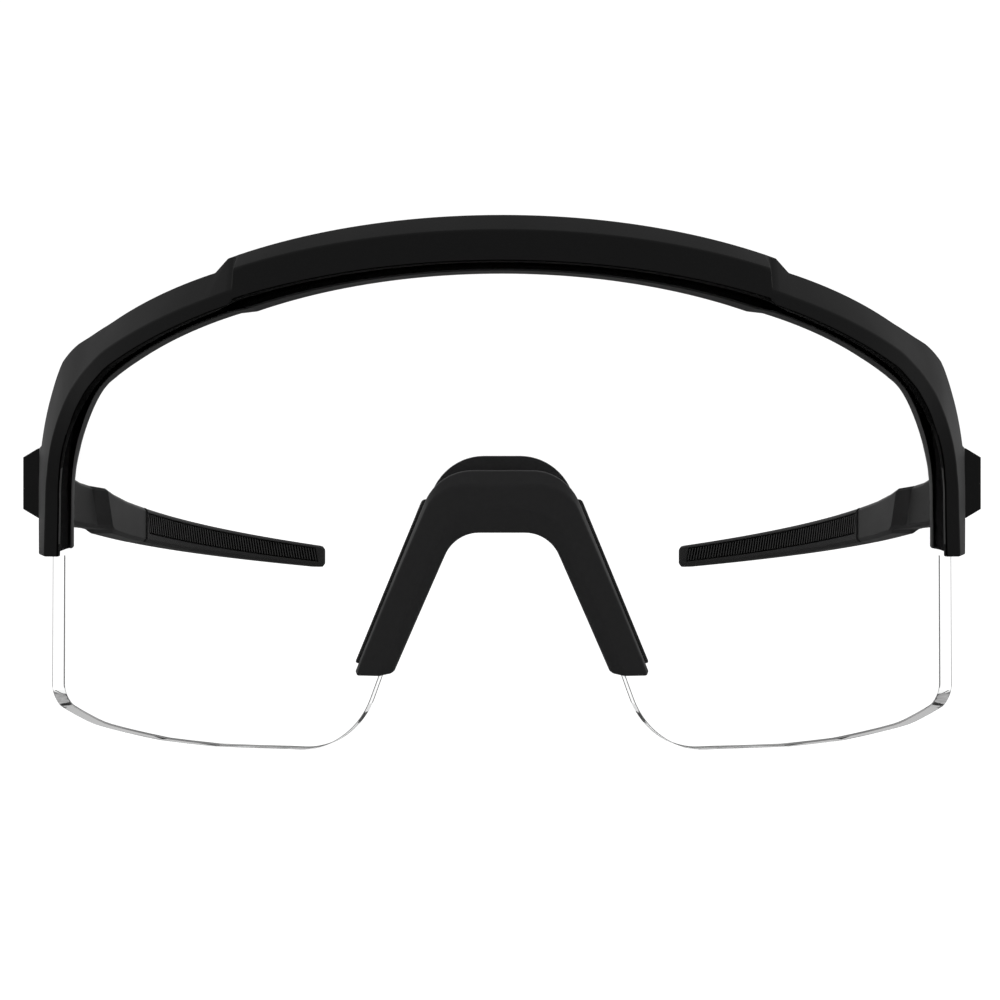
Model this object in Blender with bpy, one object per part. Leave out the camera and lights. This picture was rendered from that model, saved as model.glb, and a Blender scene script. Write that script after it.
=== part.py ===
"""Wraparound sport sunglasses: one clear shield lens under a half-rim brow frame, a nose bridge in two
halves with soft pads, and two folding temples with ribbed ear grips.

Run it with: blender --background --python part.py

Design sizes are in millimetres and become metres where a mesh is made. X runs from the wearer's right to
the left, Y from the front of the lens back to the ear tips, and Z up. The design origin is on the lens's
front face, in the middle, at the height of the wearer's pupils; the whole assembly hangs on one empty,
which carries it to the middle of its own footprint, standing on the lens's lower edge.
"""

import math

import bmesh
import bpy
from mathutils import Matrix, Vector

MM = 0.001

# Lens: an upright cylinder of clear sheet.
LENS_RADIUS = 80.0
LENS_THICKNESS = 2.2
LENS_FOOT_Z = -30.65
LENS_SIDE_S = 72.6  # half width, measured round the sheet
NOSE_ARCH_Z = -0.6
STRIP_WIDTH = 3.2  # flat strips that the cylinder is cut into

# Rim: the edge of the open field of view, laid out on the unrolled sheet.
RIM_TOP_Z = 27.5
RIM_TOP_RADIUS = 158.0
RIM_CORNER_RADIUS = 15.0
RIM_LEG_S = 71.7
RIM_LEG_END_Z = -7.8
REAR_WALL_SHORTFALL = 0.95  # the rear wall stops this far above the front lip
BROW_RAISED_TO = 34.2  # half length of the raised middle of the brow
BROW_RAMP = 2.6

# Hinge: an upright screw behind each end of the frame.
HINGE_X = 65.4
HINGE_FACE_X = 70.35
HINGE_Y = 42.1
BARREL_RADIUS = 1.9
KNUCKLE_GAP = 0.6
WASHER_THICKNESS = 0.4
WASHER_RADIUS = 1.75
LOWER_EAR = (-2.8, -0.7)
UPPER_EAR = (5.5, 7.5)
SCREW_RADIUS = 0.75
SCREW_HEAD_RADIUS = 1.3
SCREW_HEAD_HEIGHT = 0.7
INSERT_RADIUS = 1.2
BORE_PLAY = 0.1
STOP_FACE_Y = 39.7
STOP_GAP = 0.3

# Temple: straight to TEMPLE_BEND_Y, then an arc in round the head.
TEMPLE_INNER_X = 62.9
TEMPLE_BEND_Y = 70.0
TEMPLE_BEND_RADIUS = 215.0
TEMPLE_LENGTH = 97.0  # from the bend's start to the tip, along the inner face
TEMPLE_THICKNESS = 4.3
TEMPLE_TOP_Z = -0.2
TEMPLE_BOTTOM_Z = -6.4
TOP_FALL = 0.1105
BOTTOM_FALL = 0.0980
FACET_SLANT = 3.4
SLEEVE_START = 10.6
SLEEVE_SEAM = 0.25
TONGUE_END = 45.0
CORE_RADIUS = 0.5
CORE_START = 40.0
CORE_END = 90.0
GRIP_START = 11.9
GRIP_END = 94.2
GRIP_DEPTH = 1.3
RIB_COUNT = 68
RIB_HEIGHT = 0.45

# Nose bridge
CLIP_BACK_N = 0.3
CLIP_FRONT_N = 2.5
CARRIER_FRONT_N = -2.5
CARRIER_BACK_N = -4.1
LEG_FOOT_Z = -20.4

# Where the design origin sits over the middle of the footprint.
FRONT_Y = -2.5
BACK_Y = 165.14
MIDDLE_Y = (FRONT_Y + BACK_Y) / 2

COLOURS = {
    "frame_plastic": ((0.018, 0.018, 0.019), 0.48, 0.0),
    "clear_lens": ((0.93, 0.95, 0.96), 0.03, 0.0),
    "bridge_plastic": ((0.020, 0.020, 0.021), 0.45, 0.0),
    "soft_rubber": ((0.012, 0.012, 0.012), 0.75, 0.0),
    "grip_rubber": ((0.008, 0.008, 0.008), 0.82, 0.0),
    "screw_steel": ((0.55, 0.55, 0.56), 0.30, 1.0),
    "insert_brass": ((0.60, 0.45, 0.20), 0.35, 1.0),
    "washer_nylon": ((0.62, 0.62, 0.60), 0.50, 0.0),
}


# ---------------------------------------------------------------- scene and materials


def clear_scene():
    """Removes the startup objects."""
    for thing in list(bpy.data.objects):
        bpy.data.objects.remove(thing)


def material_named(name):
    """The Principled material of one finish, made once."""
    known = bpy.data.materials.get(name)
    if known:
        return known
    colour, roughness, metallic = COLOURS[name]
    made = bpy.data.materials.new(name)
    made.use_nodes = True
    shader = made.node_tree.nodes["Principled BSDF"]
    shader.inputs["Base Color"].default_value = (*colour, 1.0)
    shader.inputs["Roughness"].default_value = roughness
    shader.inputs["Metallic"].default_value = metallic
    return made


def object_from(name, shape, finish):
    """Turns a bmesh in millimetres into a named object in metres."""
    bmesh.ops.recalc_face_normals(shape, faces=shape.faces)
    bmesh.ops.scale(shape, vec=(MM, MM, MM), verts=shape.verts)
    mesh = bpy.data.meshes.new(name)
    shape.to_mesh(mesh)
    shape.free()
    made = bpy.data.objects.new(name, mesh)
    made.data.materials.append(material_named(finish))
    bpy.context.scene.collection.objects.link(made)
    return made


# ---------------------------------------------------------------- shape tools


def loft(name, rings, finish):
    """A closed solid skinned over rings of equally many points, with a cap at each end."""
    shape = bmesh.new()
    loops = [[shape.verts.new(point) for point in ring] for ring in rings]
    count = len(loops[0])
    for near, far in zip(loops, loops[1:]):
        for i in range(count):
            j = (i + 1) % count
            shape.faces.new((near[i], near[j], far[j], far[i]))
    shape.faces.new(loops[0])
    shape.faces.new(loops[-1])
    return object_from(name, shape, finish)


def block(name, low, high, finish):
    """A plain box between two corners."""
    shape = bmesh.new()
    size = [b - a for a, b in zip(low, high)]
    middle = [(a + b) / 2 for a, b in zip(low, high)]
    placed = Matrix.Translation(middle) @ Matrix.Diagonal((*size, 1.0))
    bmesh.ops.create_cube(shape, size=1.0, matrix=placed)
    return object_from(name, shape, finish)


def upright_rod(name, x, y, z_span, radius, finish, sides=24):
    """A cylinder standing along Z."""
    shape = bmesh.new()
    height = z_span[1] - z_span[0]
    placed = Matrix.Translation((x, y, (z_span[0] + z_span[1]) / 2))
    bmesh.ops.create_cone(
        shape, cap_ends=True, segments=sides, radius1=radius, radius2=radius, depth=height, matrix=placed
    )
    return object_from(name, shape, finish)


def combine(target, other, operation):
    """Applies one exact Boolean to target and removes the other object."""
    change = target.modifiers.new(operation.lower(), "BOOLEAN")
    change.object = other
    change.operation = operation
    change.solver = "EXACT"
    bpy.context.view_layer.update()
    graph = bpy.context.evaluated_depsgraph_get()
    result = bpy.data.meshes.new_from_object(target.evaluated_get(graph))
    result.name = target.name
    target.modifiers.clear()
    target.data = result
    bpy.data.objects.remove(other)
    return target


def cut(target, cutter):
    """Takes the cutter out of target."""
    return combine(target, cutter, "DIFFERENCE")


def join(target, other):
    """Makes the other solid one with target."""
    return combine(target, other, "UNION")


def mirrored(source, name):
    """A copy of a solid on the other side of the YZ plane, with its own mesh."""
    mesh = source.data.copy()
    mesh.name = name
    mesh.transform(Matrix.Diagonal((-1.0, 1.0, 1.0, 1.0)))
    mesh.flip_normals()
    made = bpy.data.objects.new(name, mesh)
    bpy.context.scene.collection.objects.link(made)
    return made


def ease(share):
    """Smooth 0 to 1."""
    share = min(1.0, max(0.0, share))
    return share * share * (3.0 - 2.0 * share)


def mix(a, b, share):
    """Every number of a moved that share of the way to b."""
    return tuple(x + (y - x) * share for x, y in zip(a, b))


def filleted(corners):
    """Points of an open outline whose corners, given as (s, z, radius), are rounded by arcs."""
    points = [Vector(corners[0][:2])]
    for before, here, after in zip(corners, corners[1:], corners[2:]):
        tip = Vector(here[:2])
        back = (Vector(before[:2]) - tip).normalized()
        on = (Vector(after[:2]) - tip).normalized()
        half = back.angle(on) / 2
        if here[2] == 0.0:
            points.append(tip)
            continue
        centre = tip + (back + on).normalized() * (here[2] / math.sin(half))
        start = tip + back * (here[2] / math.tan(half)) - centre
        turn = math.pi - 2 * half
        side = 1.0 if start.cross(on) > 0 else -1.0
        steps = max(2, math.ceil(math.degrees(turn) / 9.0))
        for i in range(steps + 1):
            angle = side * turn * i / steps
            spun = Matrix.Rotation(angle, 2) @ start
            points.append(centre + spun)
    points.append(Vector(corners[-1][:2]))
    return points


def on_sheet(s, z, n):
    """The point s round the lens's cylinder, at height z, and n out of its front face."""
    angle = s / LENS_RADIUS
    reach = LENS_RADIUS + n
    return Vector((reach * math.sin(angle), LENS_RADIUS - reach * math.cos(angle), z))


# ---------------------------------------------------------------- brow frame

# Corners of the rim's section as (b, n): b outward from the edge of the view, n forward of the lens.
# They run from the front lip's lower edge over the brow, down the back and round the lens groove.
RAISED = (
    (0.5, 1.6), (4.1, 1.6), (6.3, -0.4), (6.3, -4.2), (5.3, -5.4), (0.3, -5.4),
    (0.0, -5.0), (0.0, -2.4), (3.1, -2.4), (3.1, 0.2), (0.5, 0.2),
)  # fmt: skip
SIDE_START = (
    (0.4, 1.6), (1.75, 1.6), (5.3, -1.0), (5.3, -4.4), (4.4, -5.4), (0.3, -5.4),
    (0.0, -5.0), (0.0, -2.4), (3.1, -2.4), (3.1, 0.2), (0.4, 0.2),
)  # fmt: skip
SIDE_END = (
    (0.3, 1.6), (2.35, 1.6), (6.2, -1.0), (6.2, -4.4), (5.2, -5.4), (1.7, -5.4),
    (1.3, -5.0), (0.0, -2.4), (3.1, -2.4), (3.1, 0.2), (0.3, 0.2),
)  # fmt: skip
CORNER = (
    (-1.8, 1.4), (0.9, 1.6), (7.9, -0.6), (8.9, -3.4), (6.6, -5.2), (2.4, -4.6),
    (1.9, -4.1), (0.1, -2.4), (2.2, -2.4), (2.2, 0.2), (-1.3, 0.2),
)  # fmt: skip
LEG = (
    (-3.5, 0.86), (-0.95, 1.58), (6.6, 0.27), (9.0, -1.1), (6.4, -4.9), (2.6, -3.6),
    (0.7, -2.8), (0.3, -2.4), (1.3, -2.4), (1.3, 0.2), (-2.4, 0.2),
)  # fmt: skip
REAR_WALL = range(4, 9)  # the section's corners that belong to the rear wall


def rim_angle_at_corner():
    """Where the brow's arc hands over to the corner's, from the vertical."""
    return math.asin((RIM_LEG_S - RIM_CORNER_RADIUS) / (RIM_TOP_RADIUS - RIM_CORNER_RADIUS))


def rim_lengths():
    """Path length from the middle of the brow to the corner's start, its end, and the leg's end."""
    angle = rim_angle_at_corner()
    corner_start = RIM_TOP_RADIUS * angle
    corner_end = corner_start + RIM_CORNER_RADIUS * (math.pi / 2 - angle)
    leg_top_z = RIM_TOP_Z - RIM_TOP_RADIUS + (RIM_TOP_RADIUS - RIM_CORNER_RADIUS) * math.cos(angle)
    return corner_start, corner_end, corner_end + leg_top_z - RIM_LEG_END_Z


def rim_point(run):
    """(s, z) of the rim and its outward direction on the sheet, run along it from the middle."""
    corner_start, corner_end, _ = rim_lengths()
    top_centre_z = RIM_TOP_Z - RIM_TOP_RADIUS
    angle = rim_angle_at_corner()
    corner_centre = Vector((0.0, top_centre_z)) + (RIM_TOP_RADIUS - RIM_CORNER_RADIUS) * Vector(
        (math.sin(angle), math.cos(angle))
    )
    if run <= corner_start:
        turn = run / RIM_TOP_RADIUS
        out = Vector((math.sin(turn), math.cos(turn)))
        return Vector((0.0, top_centre_z)) + RIM_TOP_RADIUS * out, out
    if run <= corner_end:
        turn = angle + (run - corner_start) / RIM_CORNER_RADIUS
        out = Vector((math.sin(turn), math.cos(turn)))
        return corner_centre + RIM_CORNER_RADIUS * out, out
    return Vector((RIM_LEG_S, corner_centre.y - (run - corner_end))), Vector((1.0, 0.0))


def rim_section(run):
    """The rim's section at one place along it."""
    corner_start, corner_end, _ = rim_lengths()
    if run <= BROW_RAISED_TO:
        return RAISED
    ramp_end = BROW_RAISED_TO + BROW_RAMP
    side_end = corner_start - 3.0
    corner_middle = (corner_start + corner_end) / 2
    if run <= ramp_end:
        share = (run - BROW_RAISED_TO) / BROW_RAMP
        return tuple(mix(a, b, share) for a, b in zip(RAISED, SIDE_START))
    if run <= side_end:
        share = (run - ramp_end) / (side_end - ramp_end)
        return tuple(mix(a, b, share) for a, b in zip(SIDE_START, SIDE_END))
    if run <= corner_middle:
        share = ease((run - side_end) / (corner_middle - side_end))
        return tuple(mix(a, b, share) for a, b in zip(SIDE_END, CORNER))
    share = ease((run - corner_middle) / (corner_end - corner_middle))
    return tuple(mix(a, b, share) for a, b in zip(CORNER, LEG))


def rim_stations():
    """Places along half the rim where a section is set."""
    corner_start, corner_end, leg_end = rim_lengths()
    ramp_end = BROW_RAISED_TO + BROW_RAMP
    stretches = ((0.0, BROW_RAISED_TO, 11), (BROW_RAISED_TO, ramp_end, 1), (ramp_end, corner_start, 11),
                 (corner_start, corner_end, 12), (corner_end, leg_end, 3))  # fmt: skip
    places = [0.0]
    for start, end, steps in stretches:
        places += [start + (end - start) * i / steps for i in range(1, steps + 1)]
    return places


def rim_ring(run, side):
    """One section of the rim in space, on the side given by +1 or -1."""
    middle, out = rim_point(run)
    last = run >= rim_lengths()[2] - 1e-6
    ring = []
    for index, (b, n) in enumerate(rim_section(run)):
        place = middle + b * out
        lift = REAR_WALL_SHORTFALL if last and index in REAR_WALL else 0.0
        ring.append(on_sheet(side * place.x, place.y + lift, n))
    return ring


def hinge_ear(z_span):
    """One of the frame's two ears: a barrel round the hinge's axis and the web that carries it."""
    ear = upright_rod("ear", HINGE_X, HINGE_Y, z_span, BARREL_RADIUS, "frame_plastic")
    web = block(
        "web",
        (HINGE_X - BARREL_RADIUS + 0.02, STOP_FACE_Y - 1.5, z_span[0]),
        (HINGE_X + BARREL_RADIUS - 0.02, HINGE_Y - 0.2, z_span[1]),
        "frame_plastic",
    )
    return join(ear, web)


def end_block():
    """The block behind the frame's leg whose back face stops the open temple."""
    bottom, top = LOWER_EAR[0] - 0.7, UPPER_EAR[1] + 0.8
    front_y, chamfer = 33.6, 0.8
    plan = ((63.4, STOP_FACE_Y), (62.9, 36.8), (63.3, front_y), (65.5, front_y), (66.7, 36.2), (68.0, STOP_FACE_Y))
    middle_x = sum(x for x, _ in plan) / len(plan)
    rings = []
    for z, inset in ((bottom, chamfer), (bottom + chamfer, 0.0), (top - chamfer, 0.0), (top, chamfer)):
        rings.append([
            Vector((x + (inset if x < middle_x else -inset), min(y, STOP_FACE_Y), z)) for x, y in plan
        ])  # fmt: skip
    return loft("end_block", rings, "frame_plastic")


def brow_frame():
    """The half-rim frame: a grooved arch over the lens, with a hinge mount at each end."""
    places = rim_stations()
    rings = [rim_ring(run, -1) for run in reversed(places[1:])]
    rings += [rim_ring(run, 1) for run in places]
    frame = loft("brow_frame", rings, "frame_plastic")
    mount = end_block()
    for span in (LOWER_EAR, UPPER_EAR):
        mount = join(mount, hinge_ear(span))
    head_floor = UPPER_EAR[1] - SCREW_HEAD_HEIGHT - 0.35
    drills = (
        ((LOWER_EAR[0] - 2.0, UPPER_EAR[1] + 2.0), SCREW_RADIUS + BORE_PLAY),
        ((head_floor, UPPER_EAR[1] + 2.0), SCREW_HEAD_RADIUS + 0.15),
        ((LOWER_EAR[0] - 2.0, LOWER_EAR[1] + 0.2), INSERT_RADIUS + BORE_PLAY),
    )
    for span, radius in drills:
        mount = cut(mount, upright_rod("drill", HINGE_X, HINGE_Y, span, radius, "frame_plastic"))
    other = mirrored(mount, "end_block_other")
    frame = join(frame, mount)
    return join(frame, other)


# ---------------------------------------------------------------- lens


def sheet_solid(name, outline, back_n, front_n, finish):
    """A closed outline on the unrolled sheet, cut into upright strips, rolled round and given a thickness."""
    shape = bmesh.new()
    shape.faces.new([shape.verts.new((p.x, 0.0, p.y)) for p in outline])
    reach = max(abs(p.x) for p in outline)
    strips = math.ceil(reach / STRIP_WIDTH)
    for i in range(-strips + 1, strips):
        everything = shape.verts[:] + shape.edges[:] + shape.faces[:]
        bmesh.ops.bisect_plane(shape, geom=everything, plane_co=(i * STRIP_WIDTH, 0, 0), plane_no=(1, 0, 0), dist=1e-4)
    flat = [(v.co.x, v.co.z) for v in shape.verts]
    grown = bmesh.ops.extrude_face_region(shape, geom=shape.faces[:])
    behind = [v for v in grown["geom"] if isinstance(v, bmesh.types.BMVert)]
    for vert in behind:
        vert.co = on_sheet(vert.co.x, vert.co.z, back_n)
    ahead = [v for v in shape.verts if v not in set(behind)]
    for vert, (s, z) in zip(ahead, flat):
        vert.co = on_sheet(s, z, front_n)
    return object_from(name, shape, finish)


def lens_rim_edge():
    """The lens's edge inside the frame's groove, from the middle of the brow to the end of the leg."""
    groove_corner = 8
    edge = []
    for run in rim_stations():
        middle, out = rim_point(run)
        depth = rim_section(run)[groove_corner][0] - 0.35
        edge.append(middle + depth * out)
    return edge


def shield_lens():
    """One clear sheet across both eyes, with a foot on each side and an arch over the nose."""
    foot_in, foot_out = 37.0, 46.0
    lower = filleted((
        (LENS_SIDE_S, RIM_LEG_END_Z, 0.0),
        (LENS_SIDE_S + 0.2, -26.8, 2.0),
        (70.4, -28.5, 6.0),
        (60.0, -30.0, 30.0),
        (foot_out, LENS_FOOT_Z, 0.0),
        (foot_in, LENS_FOOT_Z, 0.0),
        (27.0, -30.25, 0.0),
        (18.1, -30.1, 10.0),
        (7.0, NOSE_ARCH_Z, 4.6),
        (0.0, NOSE_ARCH_Z, 0.0),
    ))  # fmt: skip
    half = lens_rim_edge()[1:-1] + lower[:-1]
    other = [Vector((-p.x, p.y)) for p in reversed(half)]
    outline = [lens_rim_edge()[0]] + half + [lower[-1]] + other
    return sheet_solid("shield_lens", outline, -LENS_THICKNESS, 0.0, "clear_lens")


# ---------------------------------------------------------------- nose bridge


def leg_rows(outer, inner, steps):
    """Pairs of outline points for a bridge half, from the middle of its arch down one leg.

    Each outline is (flat to, corner radius, leg top corner, leg foot), and both are sampled alike.
    """
    rows = []
    for outline in (outer, inner):
        arch_z, flat_to, radius, knee, foot = outline
        corner = filleted(((flat_to, arch_z, 0.0), (*knee, radius), (*foot, 0.0)))
        arc = corner[1:-1]
        flat = [Vector((flat_to * i / steps, arch_z)) for i in range(steps)]
        along = [arc[round(i * (len(arc) - 1) / steps)] for i in range(steps + 1)]
        leg = [arc[-1].lerp(corner[-1], i / steps) for i in range(1, steps + 1)]
        rows.append(flat + along + leg)
    return list(zip(*rows))


def bridge_half(name, rows, section, finish, foot_drop=0.0):
    """A bridge solid lofted from one foot over the arch to the other; section gives each row's corners."""
    rings = []
    last = len(rows) - 1
    for side, order in ((-1, range(last, 0, -1)), (1, range(last + 1))):
        for index in order:
            outer, inner = rows[index]
            ring = []
            for share, n, is_face in section(index / last):
                place = outer.lerp(inner, share)
                drop = foot_drop if is_face and index == last else 0.0
                ring.append(on_sheet(side * place.x, place.y - drop, n))
            rings.append(ring)
    return loft(name, rings, finish)


def nose_bridge_front():
    """The faceted clip in front of the lens."""
    outer = (3.5, 3.3, 6.0, (7.45, 3.5), (17.35, LEG_FOOT_Z))
    inner = (-3.85, 2.4, 4.4, (5.5, -3.85), (12.75, LEG_FOOT_Z))

    def section(share):
        down = ease(share * 1.6 - 0.3)
        upper = 0.26 + (0.13 - 0.26) * down
        lower = 0.60 + (0.74 - 0.60) * down
        return (
            (0.0, CLIP_BACK_N, False),
            (0.0, CLIP_BACK_N + 0.9, False),
            (upper, CLIP_FRONT_N, True),
            (lower, CLIP_FRONT_N, True),
            (1.0, CLIP_BACK_N + 1.1, False),
            (1.0, CLIP_BACK_N, False),
        )

    return bridge_half("nose_bridge_front", leg_rows(outer, inner, 6), section, "bridge_plastic", 0.35)


def nose_bridge_rear():
    """The carrier behind the lens, which holds the two pads."""
    outer = (5.35, 3.2, 5.0, (7.0, 5.35), (16.6, -17.0))
    inner = (-3.6, 2.4, 4.4, (5.7, -3.6), (12.2, -17.0))

    def section(share):
        return (
            (0.0, CARRIER_FRONT_N, False),
            (1.0, CARRIER_FRONT_N, False),
            (1.0, CARRIER_BACK_N + 0.4, False),
            (0.9, CARRIER_BACK_N, False),
            (0.1, CARRIER_BACK_N, False),
            (0.0, CARRIER_BACK_N + 0.4, False),
        )

    return bridge_half("nose_bridge_rear", leg_rows(outer, inner, 6), section, "bridge_plastic")


def nose_pad():
    """The wearer's left pad: a soft wing behind the carrier's leg, deepest a third of the way up."""
    top_z, foot_z, rows, front_gap = 0.1, LEG_FOOT_Z + 0.3, 9, 0.35
    rings = []
    for i in range(rows + 1):
        share = i / rows
        z = top_z + (foot_z - top_z) * share
        outer_x = 9.75 + (18.15 - 9.75) * share
        front_y = on_sheet(outer_x, z, CARRIER_BACK_N).y + front_gap
        depth = 3.2 + 6.6 * math.sin(math.pi * min(1.0, 0.12 + 0.80 * share)) ** 0.8
        end = 1.0 if 0 < i < rows else 0.62
        thick = 3.0 * end
        back_y = front_y + depth * (0.94 if end < 1.0 else 1.0)
        lean = 0.05 * depth
        rings.append([
            Vector((outer_x - 0.3, front_y, z)),
            Vector((outer_x, front_y + 0.7, z)),
            Vector((outer_x + lean * 0.7, back_y - 0.9, z)),
            Vector((outer_x + lean * 0.6 - 0.5, back_y, z)),
            Vector((outer_x + lean * 0.6 - thick * 0.7, back_y, z)),
            Vector((outer_x + lean * 0.5 - thick * 0.95, back_y - 1.0, z)),
            Vector((outer_x - thick * 1.05, front_y + 0.9, z)),
            Vector((outer_x - thick, front_y, z)),
        ])  # fmt: skip
    return loft("nose_pad_left", rings, "soft_rubber")


# ---------------------------------------------------------------- temples


def temple_point(run, w, z):
    """A point of the wearer's left temple: run along the inner face from the bend, w outward, z up."""
    if run <= 0.0:
        return Vector((TEMPLE_INNER_X + w, TEMPLE_BEND_Y + run, z))
    angle = run / TEMPLE_BEND_RADIUS
    reach = TEMPLE_BEND_RADIUS + w
    x = TEMPLE_INNER_X - TEMPLE_BEND_RADIUS + reach * math.cos(angle)
    return Vector((x, TEMPLE_BEND_Y + reach * math.sin(angle), z))


def temple_edges(run):
    """Lower and upper edge of the rear part of the temple."""
    return TEMPLE_BOTTOM_Z - BOTTOM_FALL * run, TEMPLE_TOP_Z - TOP_FALL * run


def temple_ring(
    run, inner, outer, bottom, top, out_cut=(0.9, 1.1), low_cut=(0.8, 1.5), top_cut=(0.4, 0.5), slant=0.0
):
    """Eight corners of the temple's section, from the lower inner edge outward and round.

    The slant carries the lower edge that much further back than the upper one.
    """
    corners = (
        (inner + low_cut[0], bottom), (outer - out_cut[0], bottom), (outer, bottom + out_cut[1]),
        (outer, top - out_cut[1]), (outer - out_cut[0], top), (inner + top_cut[0], top),
        (inner, top - top_cut[1]), (inner, bottom + low_cut[1]),
    )  # fmt: skip
    return [temple_point(run + slant * (top - z) / (top - bottom), w, z) for w, z in corners]


def temple_arm():
    """The wearer's left arm: hinge head, knuckle, straight stem and the tongue that the sleeve slides on."""
    head, head_in = (3.3, 2.0), HINGE_X + BARREL_RADIUS + 0.2 - TEMPLE_INNER_X
    face = HINGE_FACE_X - TEMPLE_INNER_X
    front = STOP_FACE_Y + STOP_GAP - TEMPLE_BEND_Y
    small, narrow = (0.6, 0.6), (0.4, 0.5)
    rings = [
        temple_ring(front, head_in, face, -3.05, 8.25, head, small, small),
        temple_ring(-25.9, head_in, face, -3.15, 8.0, head, small, small),
        temple_ring(-25.5, 2.7, face, -3.2, 7.6, head, (0.7, 0.9), (0.5, 0.5)),
        temple_ring(-22.5, 2.7, 7.2, -3.65, 5.2, (2.9, 1.9), (0.7, 0.9), narrow),
        temple_ring(-19.0, 2.6, 6.8, -4.1, 3.2, (2.2, 1.7), (0.7, 1.0), narrow),
        temple_ring(-15.3, 2.4, 6.2, -4.5, 2.3, (1.7, 1.5), (0.8, 1.1), narrow, FACET_SLANT),
        temple_ring(-14.2, 0.0, 6.0, -4.65, 2.1, (1.5, 1.4), (0.8, 1.1), narrow, FACET_SLANT),
        temple_ring(-9.0, 0.0, 5.3, -5.35, 1.1, (1.2, 1.2), (0.8, 1.2)),
        temple_ring(-4.5, 0.0, 4.7, -5.85, 0.45, low_cut=(0.8, 1.3)),
        temple_ring(0.0, 0.0, TEMPLE_THICKNESS, *temple_edges(0.0)),
        temple_ring(5.0, 0.0, TEMPLE_THICKNESS, *temple_edges(5.0)),
        temple_ring(SLEEVE_START - SLEEVE_SEAM, 0.0, TEMPLE_THICKNESS, *temple_edges(SLEEVE_START)),
    ]
    arm = loft("temple_arm_left", rings, "frame_plastic")
    arm = join(arm, tongue("tongue", SLEEVE_START - 2.0, TONGUE_END, 0.0))
    arm = cut(arm, core_rod("core_hole", CORE_START - 0.4, TONGUE_END + 1.0, CORE_RADIUS + BORE_PLAY))
    knuckle_span = (LOWER_EAR[1] + KNUCKLE_GAP, UPPER_EAR[0] - KNUCKLE_GAP)
    knuckle = upright_rod("knuckle", HINGE_X, HINGE_Y, knuckle_span, BARREL_RADIUS, "frame_plastic")
    web = block(
        "web",
        (HINGE_X, HINGE_Y - 1.4, knuckle_span[0]),
        (HINGE_X + BARREL_RADIUS + 1.4, HINGE_Y + BARREL_RADIUS - 0.05, knuckle_span[1]),
        "frame_plastic",
    )
    knuckle = join(knuckle, web)
    bore = upright_rod("bore", HINGE_X, HINGE_Y, (-3.0, 8.0), SCREW_RADIUS + BORE_PLAY, "frame_plastic")
    return join(arm, cut(knuckle, bore))


def tongue(name, start, end, play):
    """The blade that joins arm and sleeve, or with play its pocket in the sleeve."""
    w_low, w_high, half_height, steps = 1.95 - play, 3.05 + play, 1.15 + play, 7
    rings = []
    for i in range(steps + 1):
        run = start + (end - start) * i / steps
        low, high = temple_edges(run)
        middle = (low + high) / 2
        rings.append([
            temple_point(run, w, z)
            for w, z in (
                (w_low, middle - half_height), (w_high, middle - half_height),
                (w_high, middle + half_height), (w_low, middle + half_height),
            )
        ])  # fmt: skip
    return loft(name, rings, "frame_plastic")


def core_rod(name, start, end, radius):
    """A wire along the middle of the tongue's line."""
    steps, sides = 9, 8
    rings = []
    for i in range(steps + 1):
        run = start + (end - start) * i / steps
        low, high = temple_edges(run)
        corners = [2 * math.pi * (k + 0.5) / sides for k in range(sides)]
        rings.append([
            temple_point(run, 2.5 + radius * math.cos(a), (low + high) / 2 + radius * math.sin(a)) for a in corners
        ])  # fmt: skip
    return loft(name, rings, "screw_steel")


def grip_band(run):
    """Lower and upper edge of the ribbed grip's recess."""
    low, high = temple_edges(run)
    return low + 1.62, high - 0.62


def temple_sleeve():
    """The wearer's left ear sleeve, with the tongue's pocket and the recess for its grip."""
    steps = 22
    full = TEMPLE_LENGTH - 1.5
    rings = []
    for i in range(steps + 1):
        run = SLEEVE_START + (full - SLEEVE_START) * i / steps
        rings.append(temple_ring(run, 0.0, TEMPLE_THICKNESS - 0.5 * run / TEMPLE_LENGTH, *temple_edges(run)))
    for run, trim in ((TEMPLE_LENGTH - 0.5, 0.3), (TEMPLE_LENGTH, 0.85)):
        low, high = temple_edges(run)
        outer = TEMPLE_THICKNESS - 0.5 - 0.7 * trim
        rings.append(temple_ring(run, 0.5 * trim, outer, low + trim, high - trim))
    sleeve = loft("temple_sleeve_left", rings, "soft_rubber")
    sleeve = cut(sleeve, tongue("pocket", SLEEVE_START - 1.0, TONGUE_END + 0.6, 0.15))
    sleeve = cut(sleeve, core_rod("channel", TONGUE_END - 1.0, CORE_END + 0.4, CORE_RADIUS + BORE_PLAY))
    recess = []
    for i in range(steps + 1):
        run = GRIP_START + (GRIP_END - GRIP_START) * i / steps
        low, high = grip_band(run)
        corners = ((-1.0, low), (GRIP_DEPTH, low), (GRIP_DEPTH, high), (-1.0, high))
        recess.append([temple_point(run, w, z) for w, z in corners])
    return cut(sleeve, loft("recess", recess, "soft_rubber"))


def ear_grip():
    """The wearer's left grip: a rubber strip with upright ribs, set into the sleeve."""
    play, back_w = 0.2, GRIP_DEPTH - 0.25
    start, end = GRIP_START + play, GRIP_END - play
    pitch = (end - start) / RIB_COUNT
    places = []
    for i in range(RIB_COUNT):
        here = start + i * pitch
        places += [(here, RIB_HEIGHT), (here + 0.22 * pitch, 0.0), (here + 0.62 * pitch, 0.0), (here + 0.84 * pitch, RIB_HEIGHT)]
    places.append((end, RIB_HEIGHT))
    rings = []
    for run, w in places:
        low, high = grip_band(run)
        corners = ((w, low + play), (back_w, low + play), (back_w, high - play), (w, high - play))
        rings.append([temple_point(run, across, z) for across, z in corners])
    return loft("ear_grip_left", rings, "grip_rubber")


# ---------------------------------------------------------------- hinge hardware


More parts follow.
